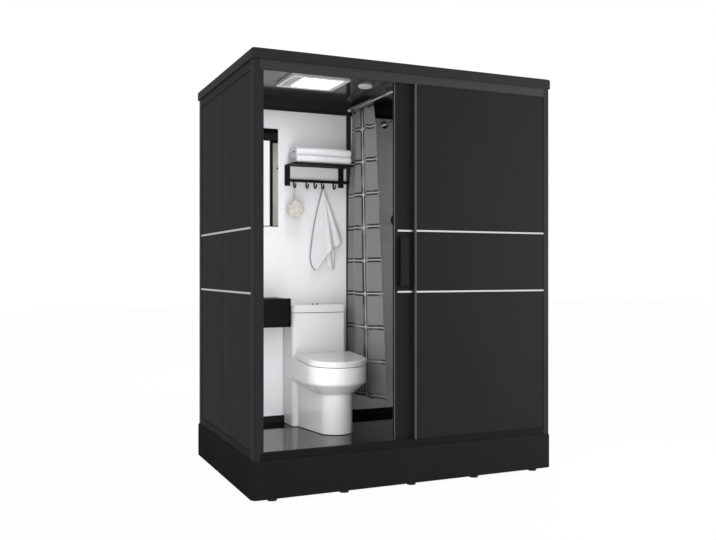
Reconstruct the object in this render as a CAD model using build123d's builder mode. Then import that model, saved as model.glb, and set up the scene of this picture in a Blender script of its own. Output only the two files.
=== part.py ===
from build123d import *
import math
import os

# Outdoor shower and toilet cabin. Millimetres, +Z up, front towards -Y,
# origin on the ground under the middle of the base.

# Overall outline
CABIN_W = 1750.0
CABIN_D = 1150.0
FOOT_H = 12.0
BASE_TOP = 200.0
FLOOR_TOP = 175.0
CORNICE_TOP = 2200.0
CORNICE_H = 52.0
ROOF_CROWN = 40.0
CORNICE_NOSE = 14.0
CORNICE_CORNER = 18.0
CROWN_EDGE = 25.0
CROWN_RUN = 200.0
CEILING_T = 6.0
ROOF_SKIN = 5.0

# Frame and walls
FRAME_INSET = 10.0
POST_W = 35.0
POST_D = 47.0
POST_ROUND = 6.0
LINING_T = 5.0
LIP_T = 4.0
RAIL_LEDGE_H = 17.0
RAIL_LIP_H = 20.0
HEADER_H = 48.0
TOP_RAIL_H = 28.0
JOINT_W = 45.0
JOINT_Y = -20.0
JOINT_RECESS = 2.0
MULLION_W = 32.0
MULLION_AT = 925.0
MULLION_PROUD = 5.0
MULLION_ROUND = 3.0

# Trim strips between the panel tiers
STRIP_Z = (1010.0, 1330.0)
STRIP_H = 12.0
STRIP_CAP_T = 3.0
STRIP_WEB_H = 4.0
STRIP_WEB_D = 14.0

# Lining boards
BOARD_H = 404.0
BOARD_FIRST = 558.0
GROOVE = 1.5

# Base: mitred skirt, joists and floor tray
TRAY_FLOOR_T = 15.0
SKIRT_CORNER = 30.0
SKIRT_EDGE = 10.0
MITRE_GAP = 0.6
JOIST_T = 24.0
FOOT_COLS = 5
FOOT_SET_X = 111.0
FOOT_SET_Y = 30.0
FOOT_R = 24.0
DRAIN_FROM_ARM = 115.0
DRAIN_Y = 0.0
DRAIN_R = 25.0
GRATE_R = 58.0
GRATE_T = 4.0
GRATE_CLEAR = 0.5
GRATE_SLOTS = 7
GRATE_SLOT_L = 75.0
GRATE_SLOT_W = 5.0
GRATE_PITCH = 11.0
SOIL_R = 55.0
BOSS_WALL = 10.0
BOSS_DROP = 75.0
INLET_R = 10.5
INLET_L = 30.0
INLET_SET = 185.0
INLET_Z = 110.0

# Front wall and sliding door
FIXED_LAP = 111.0
FIXED_T = 18.0
FRONT_D = 52.0
JAMB_W = 17.0
JAMB_GROOVE = 10.0
STILE_W = 8.0
STILE_ROUND = 2.0
DOOR_SET = 56.0
DOOR_W = 870.0
DOOR_T = 20.0
DOOR_GAP = 6.0
DOOR_STILE = 19.0
DOOR_RAIL = 30.0
DOOR_PANEL_SET = 1.0
DOOR_STRIP_T = 1.5
DOOR_SIDE_CLEAR = 2.5
SILL_FLOOR = 12.0
SILL_BACK_H = 26.0
SILL_BACK_T = 4.0
GUIDE_T = 4.0
GUIDE_H = 8.0
GUIDE_CLEAR = 1.0
DOOR_BOTTOM_CLEAR = 3.0
HEADER_ROOF_T = 12.0
HEADER_BACK_H = 42.0
LEDGE_D = 5.5
LEDGE_T = 3.0
LEDGE_DROP = 31.0
ROLLER_R = 7.0
ROLLER_W = 5.0
ROLLER_RUN = 0.3
ROLLER_LIP_CLEAR = 1.0
AXLE_R = 2.5
AXLE_CLEAR = 0.05
HANGER_W = 60.0
HANGER_T = 4.0
HANGER_SIDE_CLEAR = 0.4
HANGER_SET = 140.0
HANGER_OVER = 4.2
HANDLE_Z0 = 1037.0
HANDLE_Z1 = 1298.0
HANDLE_SET = 26.0
HANDLE_W = 48.0
HANDLE_REACH = 28.0
HANDLE_T = 10.0
HANDLE_ROUND = 14.0
HANDLE_EDGE = 3.0

# Toilet: a skirted pan with its cistern in one casting
TOILET_AT = 650.0
SOIL_SET = 225.0
TANK_W = 352.0
TANK_D = 175.0
TANK_WALL_GAP = 20.0
TANK_Z1 = 866.0
TANK_ROUND = 25.0
TANK_LID_H = 46.0
TANK_LID_OVER = 4.0
TANK_LID_ROUND = 8.0
TANK_LID_GAP = 4.0
TANK_NECK_IN = 5.0
BUTTON_R = 22.0
BUTTON_UP = 8.0
BUTTON_DEEP = 8.0
BUTTON_TRAVEL = 5.0
BUTTON_CLEAR = 0.4
BUTTON_UNDER = 1.0
BUTTON_ROUND = 3.0
PEDESTAL_HALF = 150.0
PEDESTAL_NOSE = 100.0
PEDESTAL_TAIL = 20.0
PEDESTAL_SET = 68.0
PEDESTAL_Z1 = 412.0
PAN_HALF = 180.0
PAN_REACH = 615.0
PAN_NOSE = 150.0
PAN_ROUND = 24.0
PAN_Z0 = 470.0
PAN_UNDER = 56.0
PAN_WALL_GAP = 125.0
RIM_FRONT_Z = 566.0
RIM_TILT = 3.8
BOWL_RX = 116.0
BOWL_RY = 146.0
BOWL_MID = 172.0
BOWL_LOW_R = 60.0
BOWL_LOW_SET = 222.0
BOWL_LOW_Z = 415.0
SEAT_GAP = 2.0
SEAT_T = 14.0
SEAT_INSET = 8.0
SEAT_BACK = 338.0
SEAT_BOWL_OVER = 7.0
LID_GAP = 4.0
LID_TOP = 36.0
LID_SKIRT = 4.0
LID_BACK = 366.0
LID_ROUND = 8.0
LID_POCKET = 23.0
HINGE_Y = 363.0
HINGE_H = 12.0
HINGE_R = 5.0
HINGE_CLEAR = 0.1
BARREL_R = 9.0
BARREL_L = 24.0
POST_AT = 75.0
SEAT_LUG = (36.0, 60.0)
LID_LUG = (90.0, 108.0)
LUG_GAP = 4.0
LUG_R = 9.5
LUG_OVER = 3.0

# Wash basin, tap and mirror
BASIN_AT = 25.0
BASIN_W = 420.0
BASIN_D = 269.0
BASIN_Z = (785.0, 955.0)
BASIN_ROUND = 22.0
BASIN_EDGE = 6.0
BASIN_RIM = 34.0
BASIN_DECK = 76.0
BASIN_DEPTH = 120.0
BASIN_TAPER = 8.0
WASTE_R = 20.0
WASTE_RIM = 6.0
WASTE_RIM_T = 3.0
PIPE_WALL = 4.0
TRAP_R = 34.0
TRAP_ROUND = 8.0
TRAP_Z = (640.0, 715.0)
TAP_R = 22.0
TAP_H = 90.0
SPOUT_R = 10.0
SPOUT_REACH = 110.0
SPOUT_UP = 56.0
LEVER_H = 14.0
LEVER_L = 80.0
LEVER_W = 15.0
LEVER_T = 7.0
MIRROR_AT = 47.0
MIRROR_W = 400.0
MIRROR_H = 609.0
MIRROR_DROP = 191.0
MIRROR_T = 8.0
MIRROR_BEVEL = 5.0

# Towel rack with hooks
RACK_AT = 489.0
RACK_W = 398.0
RACK_Z = (1652.0, 1783.0)
PLATE_W = 35.0
PLATE_T = 8.0
RACK_BAR = 12.0
RACK_REACH = 170.0
SHELF_BARS = 3
HOOK_RAIL_Z = 1686.0
HOOK_RAIL_T = 8.0
HOOK_RAIL_H = 18.0
HOOK_RAIL_OUT = 42.0
HOOK_AT = (56.0, 140.0, 194.0, 245.0, 324.0)
HOOK_R = 4.5
HOOK_BEND = 20.0
HOOK_DROP = 26.0
HOOK_TIP = 8.0

# Soft goods
FOLDED_W = 372.0
FOLDED_SHIFT = 4.0
FOLDED_D = 150.0
FOLDED_H = 47.0
FOLDED_ROUND = 17.0
TOWEL_WALL_GAP = 6.0
TOWEL_FOLDS = 4
FOLD_DEPTH = 0.3
# Each step: distance below the top, reach to the left and right of the hook, depth
TOWEL_STEPS = ((0.0, 12.0, 12.0, 44.0), (76.0, 31.0, 36.0, 50.0), (256.0, 74.0, 83.0, 52.0),
               (401.0, 96.0, 117.0, 56.0), (509.0, 81.0, 73.0, 48.0))
PUFF_R = 56.0
PUFF_DROP = 133.0
PUFF_WALL_GAP = 1.0
CORD_R = 1.2
SEAT_CLEAR = 0.3

# Shower zone
RAIL_FROM_MULLION = 8.0
RAIL_DROP = 36.0
RAIL_R = 9.5
FLANGE_R = 17.0
FLANGE_T = 8.0
RING_R = 17.0
RING_T = 3.0
RING_W = 4.0
RING_COUNT = 8
CURTAIN_Z0 = 338.0
CURTAIN_T = 9.0
CURTAIN_WAVES = 7
CURTAIN_TOP_SET = (360.0, 34.0)
CURTAIN_LOW_SET = (490.0, 14.0)
CURTAIN_TOP_A = 20.0
CURTAIN_LOW_A = 30.0
ARM_FROM_RAIL = 247.0
ARM_BELOW = 113.0
ARM_R = 9.0
ARM_REACH = 350.0
ARM_BEND = 30.0
ARM_DROP = 50.0
ARM_FLANGE_R = 27.0
NECK_R = 5.4
BALL_R = 9.0
BALL_CLEAR = 0.3
HEAD_R = 100.0
HEAD_T = 10.0
HEAD_RIM_H = 6.0
HEAD_FLAT_R = 90.0
HEAD_DROP = 11.7
HUB_R = 14.4
HUB_UP = 4.5
MIXER_FROM_ARM = 100.0
MIXER_Z = 1455.0
MIXER_R = 50.0
MIXER_PLATE_T = 8.0
MIXER_BODY_R = 24.0
MIXER_BODY_L = 36.0
MIXER_KNOB_L = 22.0
MIXER_LEVER_L = 85.0
MIXER_LEVER_W = 14.0
MIXER_LEVER_T = 11.0

# Ceiling fittings
UNIT_AT = 301.0
UNIT_W = 344.0
UNIT_Y = (-174.0, 132.0)
UNIT_H = 16.0
UNIT_WINDOW = 236.0
UNIT_SHIFT = 22.0
UNIT_SLOTS = 3
UNIT_SLOT_W = 9.0
UNIT_SLOT_PITCH = 15.0
DIFFUSER_SET = 3.2
LIGHT_AT = 796.0
LIGHT_Y = -25.0
LIGHT_R = 43.0
LIGHT_FACE_R = 37.0
LIGHT_H = 10.0

# Values that follow from the sizes above
FRAME_X = CABIN_W / 2 - FRAME_INSET
FRAME_Y = CABIN_D / 2 - FRAME_INSET
CORE_X = FRAME_X - POST_W
CORE_Y = FRAME_Y - POST_W
ROOM_X = CORE_X - LINING_T
ROOM_Y = CORE_Y - LINING_T
FRONT_IN = -FRAME_Y + FRONT_D
LEFT = -ROOM_X
CORNICE_BOTTOM = CORNICE_TOP - CORNICE_H
CROWN_SLOPE = ROOF_CROWN / CROWN_RUN
CEILING_Z = CORNICE_TOP + CROWN_SLOPE * (CABIN_W / 2 - CROWN_EDGE - ROOM_X) - ROOF_SKIN - CEILING_T
PANEL_Z0 = BASE_TOP + RAIL_LEDGE_H
LIP_Z0 = PANEL_Z0 + RAIL_LIP_H
PANEL_Z1 = CORNICE_BOTTOM - TOP_RAIL_H
HEADER_Z0 = CORNICE_BOTTOM - HEADER_H
SIDE_Y = FRAME_Y - POST_D
JOINT_SPAN = (JOINT_Y - JOINT_W / 2, JOINT_Y + JOINT_W / 2)
MULLION_X = LEFT + MULLION_AT
MULLION_SPAN = (MULLION_X - MULLION_W / 2, MULLION_X + MULLION_W / 2)
FIXED_BACK = -FRAME_Y + FIXED_T
DOOR_Y0 = FIXED_BACK + DOOR_GAP
DOOR_Y1 = DOOR_Y0 + DOOR_T
DOOR_X1 = CORE_X - DOOR_SET
DOOR_X0 = DOOR_X1 - DOOR_W
FIXED_X0 = DOOR_X0 + FIXED_LAP
LEDGE_Z = CORNICE_BOTTOM - LEDGE_DROP
DOOR_Z0 = BASE_TOP + SILL_FLOOR + DOOR_BOTTOM_CLEAR
DOOR_Z1 = LEDGE_Z - LEDGE_T - DOOR_BOTTOM_CLEAR * 2
TOILET_X = LEFT + TOILET_AT
SOIL_Y = ROOM_Y - SOIL_SET
RACK_X = (LEFT + RACK_AT, LEFT + RACK_AT + RACK_W)
RACK_FRONT = ROOM_Y - RACK_REACH
HOOK_X = [RACK_X[0] + at for at in HOOK_AT]
RAIL_X = MULLION_X + RAIL_FROM_MULLION
RAIL_Z = CEILING_Z - RAIL_DROP
ARM_X = RAIL_X + ARM_FROM_RAIL
ARM_Z = CEILING_Z - ARM_BELOW
DRAIN_X = ARM_X + DRAIN_FROM_ARM
MIXER_X = ARM_X + MIXER_FROM_ARM
INLET_X = ROOM_X - INLET_SET
FOOT_PITCH_X = 2 * (CABIN_W / 2 - FOOT_SET_X) / (FOOT_COLS - 1)
FOOT_PITCH_Y = CABIN_D / 2 - FOOT_SET_Y

os.makedirs("parts", exist_ok=True)


def write(piece, name):
    """Label a finished piece and write it as its own file."""
    piece.part.label = name
    export_step(piece.part, f"parts/{name}.step")


def block(xs, ys, zs, mode=Mode.ADD):
    """Block between three pairs of coordinates."""
    with Locations(((xs[0] + xs[1]) / 2, (ys[0] + ys[1]) / 2, (zs[0] + zs[1]) / 2)):
        return Box(abs(xs[1] - xs[0]), abs(ys[1] - ys[0]), abs(zs[1] - zs[0]), mode=mode)


def outline(points):
    """Closed straight-sided outline in the current sketch."""
    return Polygon(*points, align=None)


def bend(x, y, z, radius, angles):
    """Arc in a plane of constant X round a centre, from one angle to another."""
    turns = [math.radians(a) for a in (angles[0], sum(angles) / 2, angles[1])]
    return ThreePointArc(*[(x, y + radius * math.cos(a), z + radius * math.sin(a)) for a in turns])


def tiers(z0, z1):
    """Height spans of the panels above, between and below the strips."""
    half = STRIP_WEB_H / 2
    low, high = STRIP_Z
    return [(z0, low - half), (low + half, high - half), (high + half, z1)]


# Base skirt: four boards, mitred at rounded corners
OUTER = [(sx * CABIN_W / 2, sy * CABIN_D / 2) for sx, sy in ((-1, -1), (1, -1), (1, 1), (-1, 1))]
INNER = [(LEFT, FRONT_IN), (ROOM_X, FRONT_IN), (ROOM_X, ROOM_Y), (LEFT, ROOM_Y)]
with BuildPart() as base_skirt:
    with BuildSketch(Plane.XY.offset(FOOT_H)):
        RectangleRounded(CABIN_W, CABIN_D, SKIRT_CORNER)
    extrude(amount=BASE_TOP - FOOT_H)
    fillet(base_skirt.faces().sort_by(Axis.Z)[-1].edges(), SKIRT_EDGE)
    block((LEFT, ROOM_X), (FRONT_IN, ROOM_Y), (FOOT_H, BASE_TOP), mode=Mode.SUBTRACT)
    for (outer_x, outer_y), (inner_x, inner_y) in zip(OUTER, INNER):
        run = math.degrees(math.atan2(outer_y - inner_y, outer_x - inner_x))
        with BuildSketch(Plane.XY.offset(FOOT_H)):
            with Locations(((outer_x + inner_x) / 2, (outer_y + inner_y) / 2)):
                Rectangle(4 * SKIRT_CORNER, MITRE_GAP, rotation=run)
        extrude(amount=BASE_TOP - FOOT_H, mode=Mode.SUBTRACT)
    with BuildSketch(Plane.XZ.offset(-CABIN_D / 2)):
        with Locations((INLET_X, INLET_Z)):
            Circle(INLET_R)
    extrude(amount=INLET_L, mode=Mode.SUBTRACT)
write(base_skirt, "base_skirt")

# Joists across the base, one over each row of feet
TRAY_Z0 = FLOOR_TOP - TRAY_FLOOR_T
JOIST_X = [FOOT_PITCH_X * (i - (FOOT_COLS - 1) / 2) for i in range(FOOT_COLS)]
with BuildPart() as floor_joists:
    for x in JOIST_X:
        block((x - JOIST_T / 2, x + JOIST_T / 2), (FRONT_IN, ROOM_Y), (FOOT_H, TRAY_Z0))
write(floor_joists, "floor_joists")

# Floor tray with the drain seat, waste and soil outlets
with BuildPart() as base_tray:
    block((LEFT, ROOM_X), (FRONT_IN, ROOM_Y), (TRAY_Z0, FLOOR_TOP))
    for x, y, r in ((DRAIN_X, DRAIN_Y, DRAIN_R), (TOILET_X, SOIL_Y, SOIL_R)):
        with BuildSketch(Plane.XY.offset(TRAY_Z0)):
            with Locations((x, y)):
                Circle(r + BOSS_WALL)
        extrude(amount=-BOSS_DROP)
        with BuildSketch(Plane.XY.offset(FLOOR_TOP)):
            with Locations((x, y)):
                Circle(r)
        extrude(amount=-(TRAY_FLOOR_T + BOSS_DROP), mode=Mode.SUBTRACT)
    with BuildSketch(Plane.XY.offset(FLOOR_TOP)):
        with Locations((DRAIN_X, DRAIN_Y)):
            Circle(GRATE_R)
    extrude(amount=-GRATE_T, mode=Mode.SUBTRACT)
write(base_tray, "base_tray")

with BuildPart() as levelling_feet:
    with GridLocations(FOOT_PITCH_X, FOOT_PITCH_Y, FOOT_COLS, 3):
        Cylinder(FOOT_R, FOOT_H, align=(Align.CENTER, Align.CENTER, Align.MIN))
    chamfer(levelling_feet.faces().sort_by(Axis.Z)[-1].edges(), FOOT_H / 4)
write(levelling_feet, "levelling_feet")

with BuildPart() as drain_grate:
    with BuildSketch(Plane.XY.offset(FLOOR_TOP - GRATE_T)):
        with Locations((DRAIN_X, DRAIN_Y)):
            Circle(GRATE_R - GRATE_CLEAR)
            with GridLocations(0, GRATE_PITCH, 1, GRATE_SLOTS):
                SlotOverall(GRATE_SLOT_L, GRATE_SLOT_W, mode=Mode.SUBTRACT)
    extrude(amount=GRATE_T)
write(drain_grate, "drain_grate")

# Corner posts, rounded on their outer corner
for side_y, name in ((-1, "front_posts"), (1, "rear_posts")):
    with BuildPart() as posts:
        for side_x in (-1, 1):
            with BuildPart(mode=Mode.PRIVATE) as post:
                block((side_x * FRAME_X, side_x * CORE_X), (side_y * FRAME_Y, side_y * SIDE_Y),
                      (BASE_TOP, CORNICE_BOTTOM))
                uprights = post.edges().filter_by(Axis.Z)
                outer = uprights.sort_by(lambda e: side_x * e.center().X + side_y * e.center().Y)[-1]
                fillet(outer, POST_ROUND)
            add(post.part)
    write(posts, name)

# Bottom and top rails: a ledge under the panel with a lip in front of it
BOTTOM_RAIL = [(0, BASE_TOP), (POST_W, BASE_TOP), (POST_W, PANEL_Z0), (LIP_T, PANEL_Z0),
               (LIP_T, LIP_Z0), (0, LIP_Z0)]
TOP_RAIL = [(0, CORNICE_BOTTOM), (POST_W, CORNICE_BOTTOM), (POST_W, PANEL_Z1), (LIP_T, PANEL_Z1),
            (LIP_T, HEADER_Z0), (0, HEADER_Z0)]
for section, name in ((BOTTOM_RAIL, "bottom_rails"), (TOP_RAIL, "top_rails")):
    with BuildPart() as rails:
        for side in (-1, 1):
            with BuildSketch(Plane.XZ):
                outline([(side * (FRAME_X - d), z) for d, z in section])
            extrude(amount=SIDE_Y, both=True)
        with BuildSketch(Plane.YZ):
            outline([(FRAME_Y - d, z) for d, z in section])
        extrude(amount=CORE_X, both=True)
    write(rails, name)

# Outer wall panels, in three tiers and two bays on each wall
PANEL_BACK = POST_W
SIDE_BAYS = ((-SIDE_Y, JOINT_SPAN[0]), (JOINT_SPAN[1], SIDE_Y))
REAR_BAYS = ((-CORE_X, MULLION_SPAN[0]), (MULLION_SPAN[1], CORE_X))
for side, name in ((-1, "left_wall_panels"), (1, "right_wall_panels")):
    with BuildPart() as side_panels:
        for bay in SIDE_BAYS:
            for tier in tiers(PANEL_Z0, PANEL_Z1):
                block((side * (FRAME_X - LIP_T), side * (FRAME_X - PANEL_BACK)), bay, tier)
    write(side_panels, name)
with BuildPart() as rear_panels:
    for bay in REAR_BAYS:
        for tier in tiers(PANEL_Z0, PANEL_Z1):
            block(bay, (CORE_Y, FRAME_Y - LIP_T), tier)
write(rear_panels, "rear_wall_panels")

with BuildPart() as side_joint_profiles:
    for side in (-1, 1):
        block((side * (FRAME_X - LIP_T - JOINT_RECESS), side * (FRAME_X - PANEL_BACK)), JOINT_SPAN,
              (PANEL_Z0, PANEL_Z1))
write(side_joint_profiles, "side_joint_profiles")

with BuildPart() as rear_mullion:
    block(MULLION_SPAN, (ROOM_Y - MULLION_PROUD, FRAME_Y - LIP_T - JOINT_RECESS), (PANEL_Z0, PANEL_Z1))
    fillet(rear_mullion.edges().filter_by(Axis.Z).group_by(Axis.Y)[0], MULLION_ROUND)
write(rear_mullion, "rear_mullion")


def strip_cap(z):
    """Outline of the visible strip: height span and depth span."""
    return (z - STRIP_H / 2, z + STRIP_H / 2), (LIP_T - STRIP_CAP_T, LIP_T)


def strip_web(z):
    """Outline of the tongue between two panel tiers."""
    return (z - STRIP_WEB_H / 2, z + STRIP_WEB_H / 2), (LIP_T, LIP_T + STRIP_WEB_D)


with BuildPart() as wall_strips:
    for z in STRIP_Z:
        (cap_z, cap_d), (web_z, web_d) = strip_cap(z), strip_web(z)
        for side in (-1, 1):
            block([side * (FRAME_X - d) for d in cap_d], (-SIDE_Y, SIDE_Y), cap_z)
            for bay in SIDE_BAYS:
                block([side * (FRAME_X - d) for d in web_d], bay, web_z)
        block((-CORE_X, CORE_X), [FRAME_Y - d for d in cap_d], cap_z)
        for bay in REAR_BAYS:
            block(bay, [FRAME_Y - d for d in web_d], web_z)
write(wall_strips, "wall_strips")

# Inner linings of grooved boards
SEAMS = [BOARD_FIRST + BOARD_H * i for i in range(4)]
for side, name in ((-1, "left_lining"), (1, "right_lining")):
    with BuildPart() as lining:
        block((side * CORE_X, side * ROOM_X), (FRONT_IN, ROOM_Y), (PANEL_Z0, PANEL_Z1))
        for z in SEAMS:
            block((side * ROOM_X, side * (ROOM_X + GROOVE)), (FRONT_IN, ROOM_Y),
                  (z - GROOVE / 2, z + GROOVE / 2), mode=Mode.SUBTRACT)
    write(lining, name)
with BuildPart() as rear_linings:
    for span in ((-CORE_X, MULLION_SPAN[0]), (MULLION_SPAN[1], CORE_X)):
        block(span, (ROOM_Y, CORE_Y), (PANEL_Z0, PANEL_Z1))
    for z in SEAMS:
        block((-CORE_X, CORE_X), (ROOM_Y, ROOM_Y + GROOVE),
              (z - GROOVE / 2, z + GROOVE / 2), mode=Mode.SUBTRACT)
write(rear_linings, "rear_linings")

# Roof cap with a rounded cornice and a low crown, hollow below
with BuildPart() as roof_cap:
    with BuildSketch(Plane.XY.offset(CORNICE_BOTTOM)):
        RectangleRounded(CABIN_W, CABIN_D, CORNICE_CORNER)
    extrude(amount=CORNICE_TOP - CORNICE_BOTTOM)
    fillet(roof_cap.faces().sort_by(Axis.Z)[-1].edges(), CORNICE_NOSE)
    with BuildSketch(Plane.XY.offset(CORNICE_TOP)):
        Rectangle(CABIN_W - 2 * CROWN_EDGE, CABIN_D - 2 * CROWN_EDGE)
    with BuildSketch(Plane.XY.offset(CORNICE_TOP + ROOF_CROWN)):
        Rectangle(CABIN_W - 2 * (CROWN_EDGE + CROWN_RUN), CABIN_D - 2 * (CROWN_EDGE + CROWN_RUN))
    loft(ruled=True)
    block((-ROOM_X, ROOM_X), (FRONT_IN, ROOM_Y), (CORNICE_BOTTOM, CEILING_Z + CEILING_T), mode=Mode.SUBTRACT)
write(roof_cap, "roof_cap")

with BuildPart() as ceiling_panel:
    block((-ROOM_X, ROOM_X), (FRONT_IN, ROOM_Y), (CEILING_Z, CEILING_Z + CEILING_T))
write(ceiling_panel, "ceiling_panel")

# Front sill: fixed panel lip, door groove with a guide rib, back lip
GUIDE_Y = (DOOR_Y0 + DOOR_Y1) / 2
SILL_Z = BASE_TOP + SILL_FLOOR
GROOVE_Y0 = DOOR_Y0 - DOOR_SIDE_CLEAR
SILL = [(-FRAME_Y, BASE_TOP), (FRONT_IN, BASE_TOP), (FRONT_IN, BASE_TOP + SILL_BACK_H),
        (FRONT_IN - SILL_BACK_T, BASE_TOP + SILL_BACK_H), (FRONT_IN - SILL_BACK_T, SILL_Z),
        (GUIDE_Y + GUIDE_T / 2, SILL_Z), (GUIDE_Y + GUIDE_T / 2, SILL_Z + GUIDE_H),
        (GUIDE_Y - GUIDE_T / 2, SILL_Z + GUIDE_H), (GUIDE_Y - GUIDE_T / 2, SILL_Z),
        (GROOVE_Y0, SILL_Z), (GROOVE_Y0, LIP_Z0), (-FRAME_Y, LIP_Z0)]
with BuildPart() as front_sill:
    with BuildSketch(Plane.YZ):
        outline(SILL)
    extrude(amount=CORE_X, both=True)
write(front_sill, "front_sill")

# Front header: fascia, roof of the roller channel, back lip with the roller ledge
CHANNEL_TOP = CORNICE_BOTTOM - HEADER_ROOF_T
BACK_LIP_Y = FRONT_IN - SILL_BACK_T
HEADER = [(-FRAME_Y, HEADER_Z0), (GROOVE_Y0, HEADER_Z0), (GROOVE_Y0, CHANNEL_TOP), (BACK_LIP_Y, CHANNEL_TOP),
          (BACK_LIP_Y, LEDGE_Z), (BACK_LIP_Y - LEDGE_D, LEDGE_Z), (BACK_LIP_Y - LEDGE_D, LEDGE_Z - LEDGE_T),
          (BACK_LIP_Y, LEDGE_Z - LEDGE_T), (BACK_LIP_Y, CORNICE_BOTTOM - HEADER_BACK_H),
          (FRONT_IN, CORNICE_BOTTOM - HEADER_BACK_H), (FRONT_IN, CORNICE_BOTTOM), (-FRAME_Y, CORNICE_BOTTOM)]
with BuildPart() as front_header:
    with BuildSketch(Plane.YZ):
        outline(HEADER)
    extrude(amount=CORE_X, both=True)
write(front_header, "front_header")

# Left jamb with the groove that takes the closed door
JAMB_X = -CORE_X + JAMB_W
with BuildPart() as door_jamb:
    block((-CORE_X, JAMB_X), (-FRAME_Y, FRONT_IN), (LIP_Z0, HEADER_Z0))
    block((JAMB_X - JAMB_GROOVE, JAMB_X), (GROOVE_Y0, DOOR_Y1 + DOOR_SIDE_CLEAR), (LIP_Z0, HEADER_Z0),
          mode=Mode.SUBTRACT)
write(door_jamb, "door_jamb")

# Fixed front panel in three tiers, its bright edge stile and its strips
FIXED_X1 = CORE_X
with BuildPart() as fixed_front_panel:
    for tier in tiers(LIP_Z0, HEADER_Z0):
        block((FIXED_X0 + STILE_W, FIXED_X1), (-FRAME_Y + LIP_T, FIXED_BACK), tier)
write(fixed_front_panel, "fixed_front_panel")
with BuildPart() as fixed_front_stile:
    block((FIXED_X0, FIXED_X0 + STILE_W), (-FRAME_Y, FIXED_BACK), (LIP_Z0, HEADER_Z0))
    fillet(fixed_front_stile.edges().filter_by(Axis.Z).group_by(Axis.Y)[0], STILE_ROUND)
write(fixed_front_stile, "fixed_front_stile")
with BuildPart() as front_strips:
    for z in STRIP_Z:
        (cap_z, cap_d), (web_z, web_d) = strip_cap(z), strip_web(z)
        block((FIXED_X0 + STILE_W, FIXED_X1), [-FRAME_Y + d for d in cap_d], cap_z)
        block((FIXED_X0 + STILE_W, FIXED_X1), (-FRAME_Y + LIP_T, FIXED_BACK), web_z)
write(front_strips, "front_strips")

# Sliding door leaf: stiles and rails, three panels, strips
DOOR_IN = (DOOR_X0 + DOOR_STILE, DOOR_X1 - DOOR_STILE)
DOOR_PANEL_Z = (DOOR_Z0 + DOOR_RAIL, DOOR_Z1 - DOOR_RAIL)
DOOR_PANEL_Y = (DOOR_Y0 + DOOR_PANEL_SET, DOOR_Y1 - DOOR_PANEL_SET)
with BuildPart() as door_frame:
    for xs in ((DOOR_X0, DOOR_IN[0]), (DOOR_IN[1], DOOR_X1)):
        block(xs, (DOOR_Y0, DOOR_Y1), (DOOR_Z0, DOOR_Z1))
    for zs in ((DOOR_Z0, DOOR_PANEL_Z[0]), (DOOR_PANEL_Z[1], DOOR_Z1)):
        block(DOOR_IN, (DOOR_Y0, DOOR_Y1), zs)
    block((DOOR_X0, DOOR_X1), (GUIDE_Y - GUIDE_T / 2 - GUIDE_CLEAR, GUIDE_Y + GUIDE_T / 2 + GUIDE_CLEAR),
          (DOOR_Z0, SILL_Z + GUIDE_H + GUIDE_CLEAR), mode=Mode.SUBTRACT)
write(door_frame, "door_frame")
with BuildPart() as door_panels:
    for tier in tiers(*DOOR_PANEL_Z):
        block(DOOR_IN, DOOR_PANEL_Y, tier)
write(door_panels, "door_panels")
with BuildPart() as door_strips:
    for z in STRIP_Z:
        block(DOOR_IN, (DOOR_PANEL_Y[0] - DOOR_STRIP_T, DOOR_PANEL_Y[0]), (z - STRIP_H / 2, z + STRIP_H / 2))
        block(DOOR_IN, DOOR_PANEL_Y, (z - STRIP_WEB_H / 2, z + STRIP_WEB_H / 2))
write(door_strips, "door_strips")

# Bow handle standing on the door panel
with BuildPart() as door_handle:
    with BuildSketch(Plane.YZ.offset(DOOR_X0 + HANDLE_SET)):
        with Locations((DOOR_PANEL_Y[0], (HANDLE_Z0 + HANDLE_Z1) / 2)):
            Rectangle(2 * HANDLE_REACH, HANDLE_Z1 - HANDLE_Z0)
            Rectangle(2 * (HANDLE_REACH - HANDLE_T), HANDLE_Z1 - HANDLE_Z0 - 2 * HANDLE_ROUND,
                      mode=Mode.SUBTRACT)
            with Locations((HANDLE_REACH, 0)):
                Rectangle(2 * HANDLE_REACH, HANDLE_Z1 - HANDLE_Z0, mode=Mode.SUBTRACT)
    extrude(amount=HANDLE_W)
    fillet(door_handle.edges().filter_by(Axis.X).group_by(Axis.Y)[0], HANDLE_ROUND)
    fillet(door_handle.edges().filter_by(Axis.Z).group_by(Axis.Y)[0], HANDLE_EDGE)
write(door_handle, "door_handle")

# Hangers on the door's top edge, each with an axle and a running roller
ROLLER_Z = LEDGE_Z + ROLLER_RUN + ROLLER_R
ROLLER_Y1 = BACK_LIP_Y - ROLLER_LIP_CLEAR
HANGER_Y1 = ROLLER_Y1 - ROLLER_W - HANGER_SIDE_CLEAR
HANGER_X = (DOOR_X0 + HANGER_SET, DOOR_X1 - HANGER_SET)
with BuildPart() as door_hangers:
    for x in HANGER_X:
        block((x - HANGER_W / 2, x + HANGER_W / 2), (HANGER_Y1 - HANGER_T, HANGER_Y1),
              (DOOR_Z1, ROLLER_Z + HANGER_OVER))
        with BuildSketch(Plane.XZ.offset(-HANGER_Y1)):
            with Locations((x, ROLLER_Z)):
                Circle(AXLE_R)
        extrude(amount=-(ROLLER_W + HANGER_SIDE_CLEAR))
write(door_hangers, "door_hangers")
for x, name in zip(HANGER_X, ("door_roller_lead", "door_roller_tail")):
    with BuildPart() as roller:
        with BuildSketch(Plane.XZ.offset(-ROLLER_Y1)):
            with Locations((x, ROLLER_Z)):
                Circle(ROLLER_R)
                Circle(AXLE_R + AXLE_CLEAR, mode=Mode.SUBTRACT)
        extrude(amount=ROLLER_W)
    write(roller, name)

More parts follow.
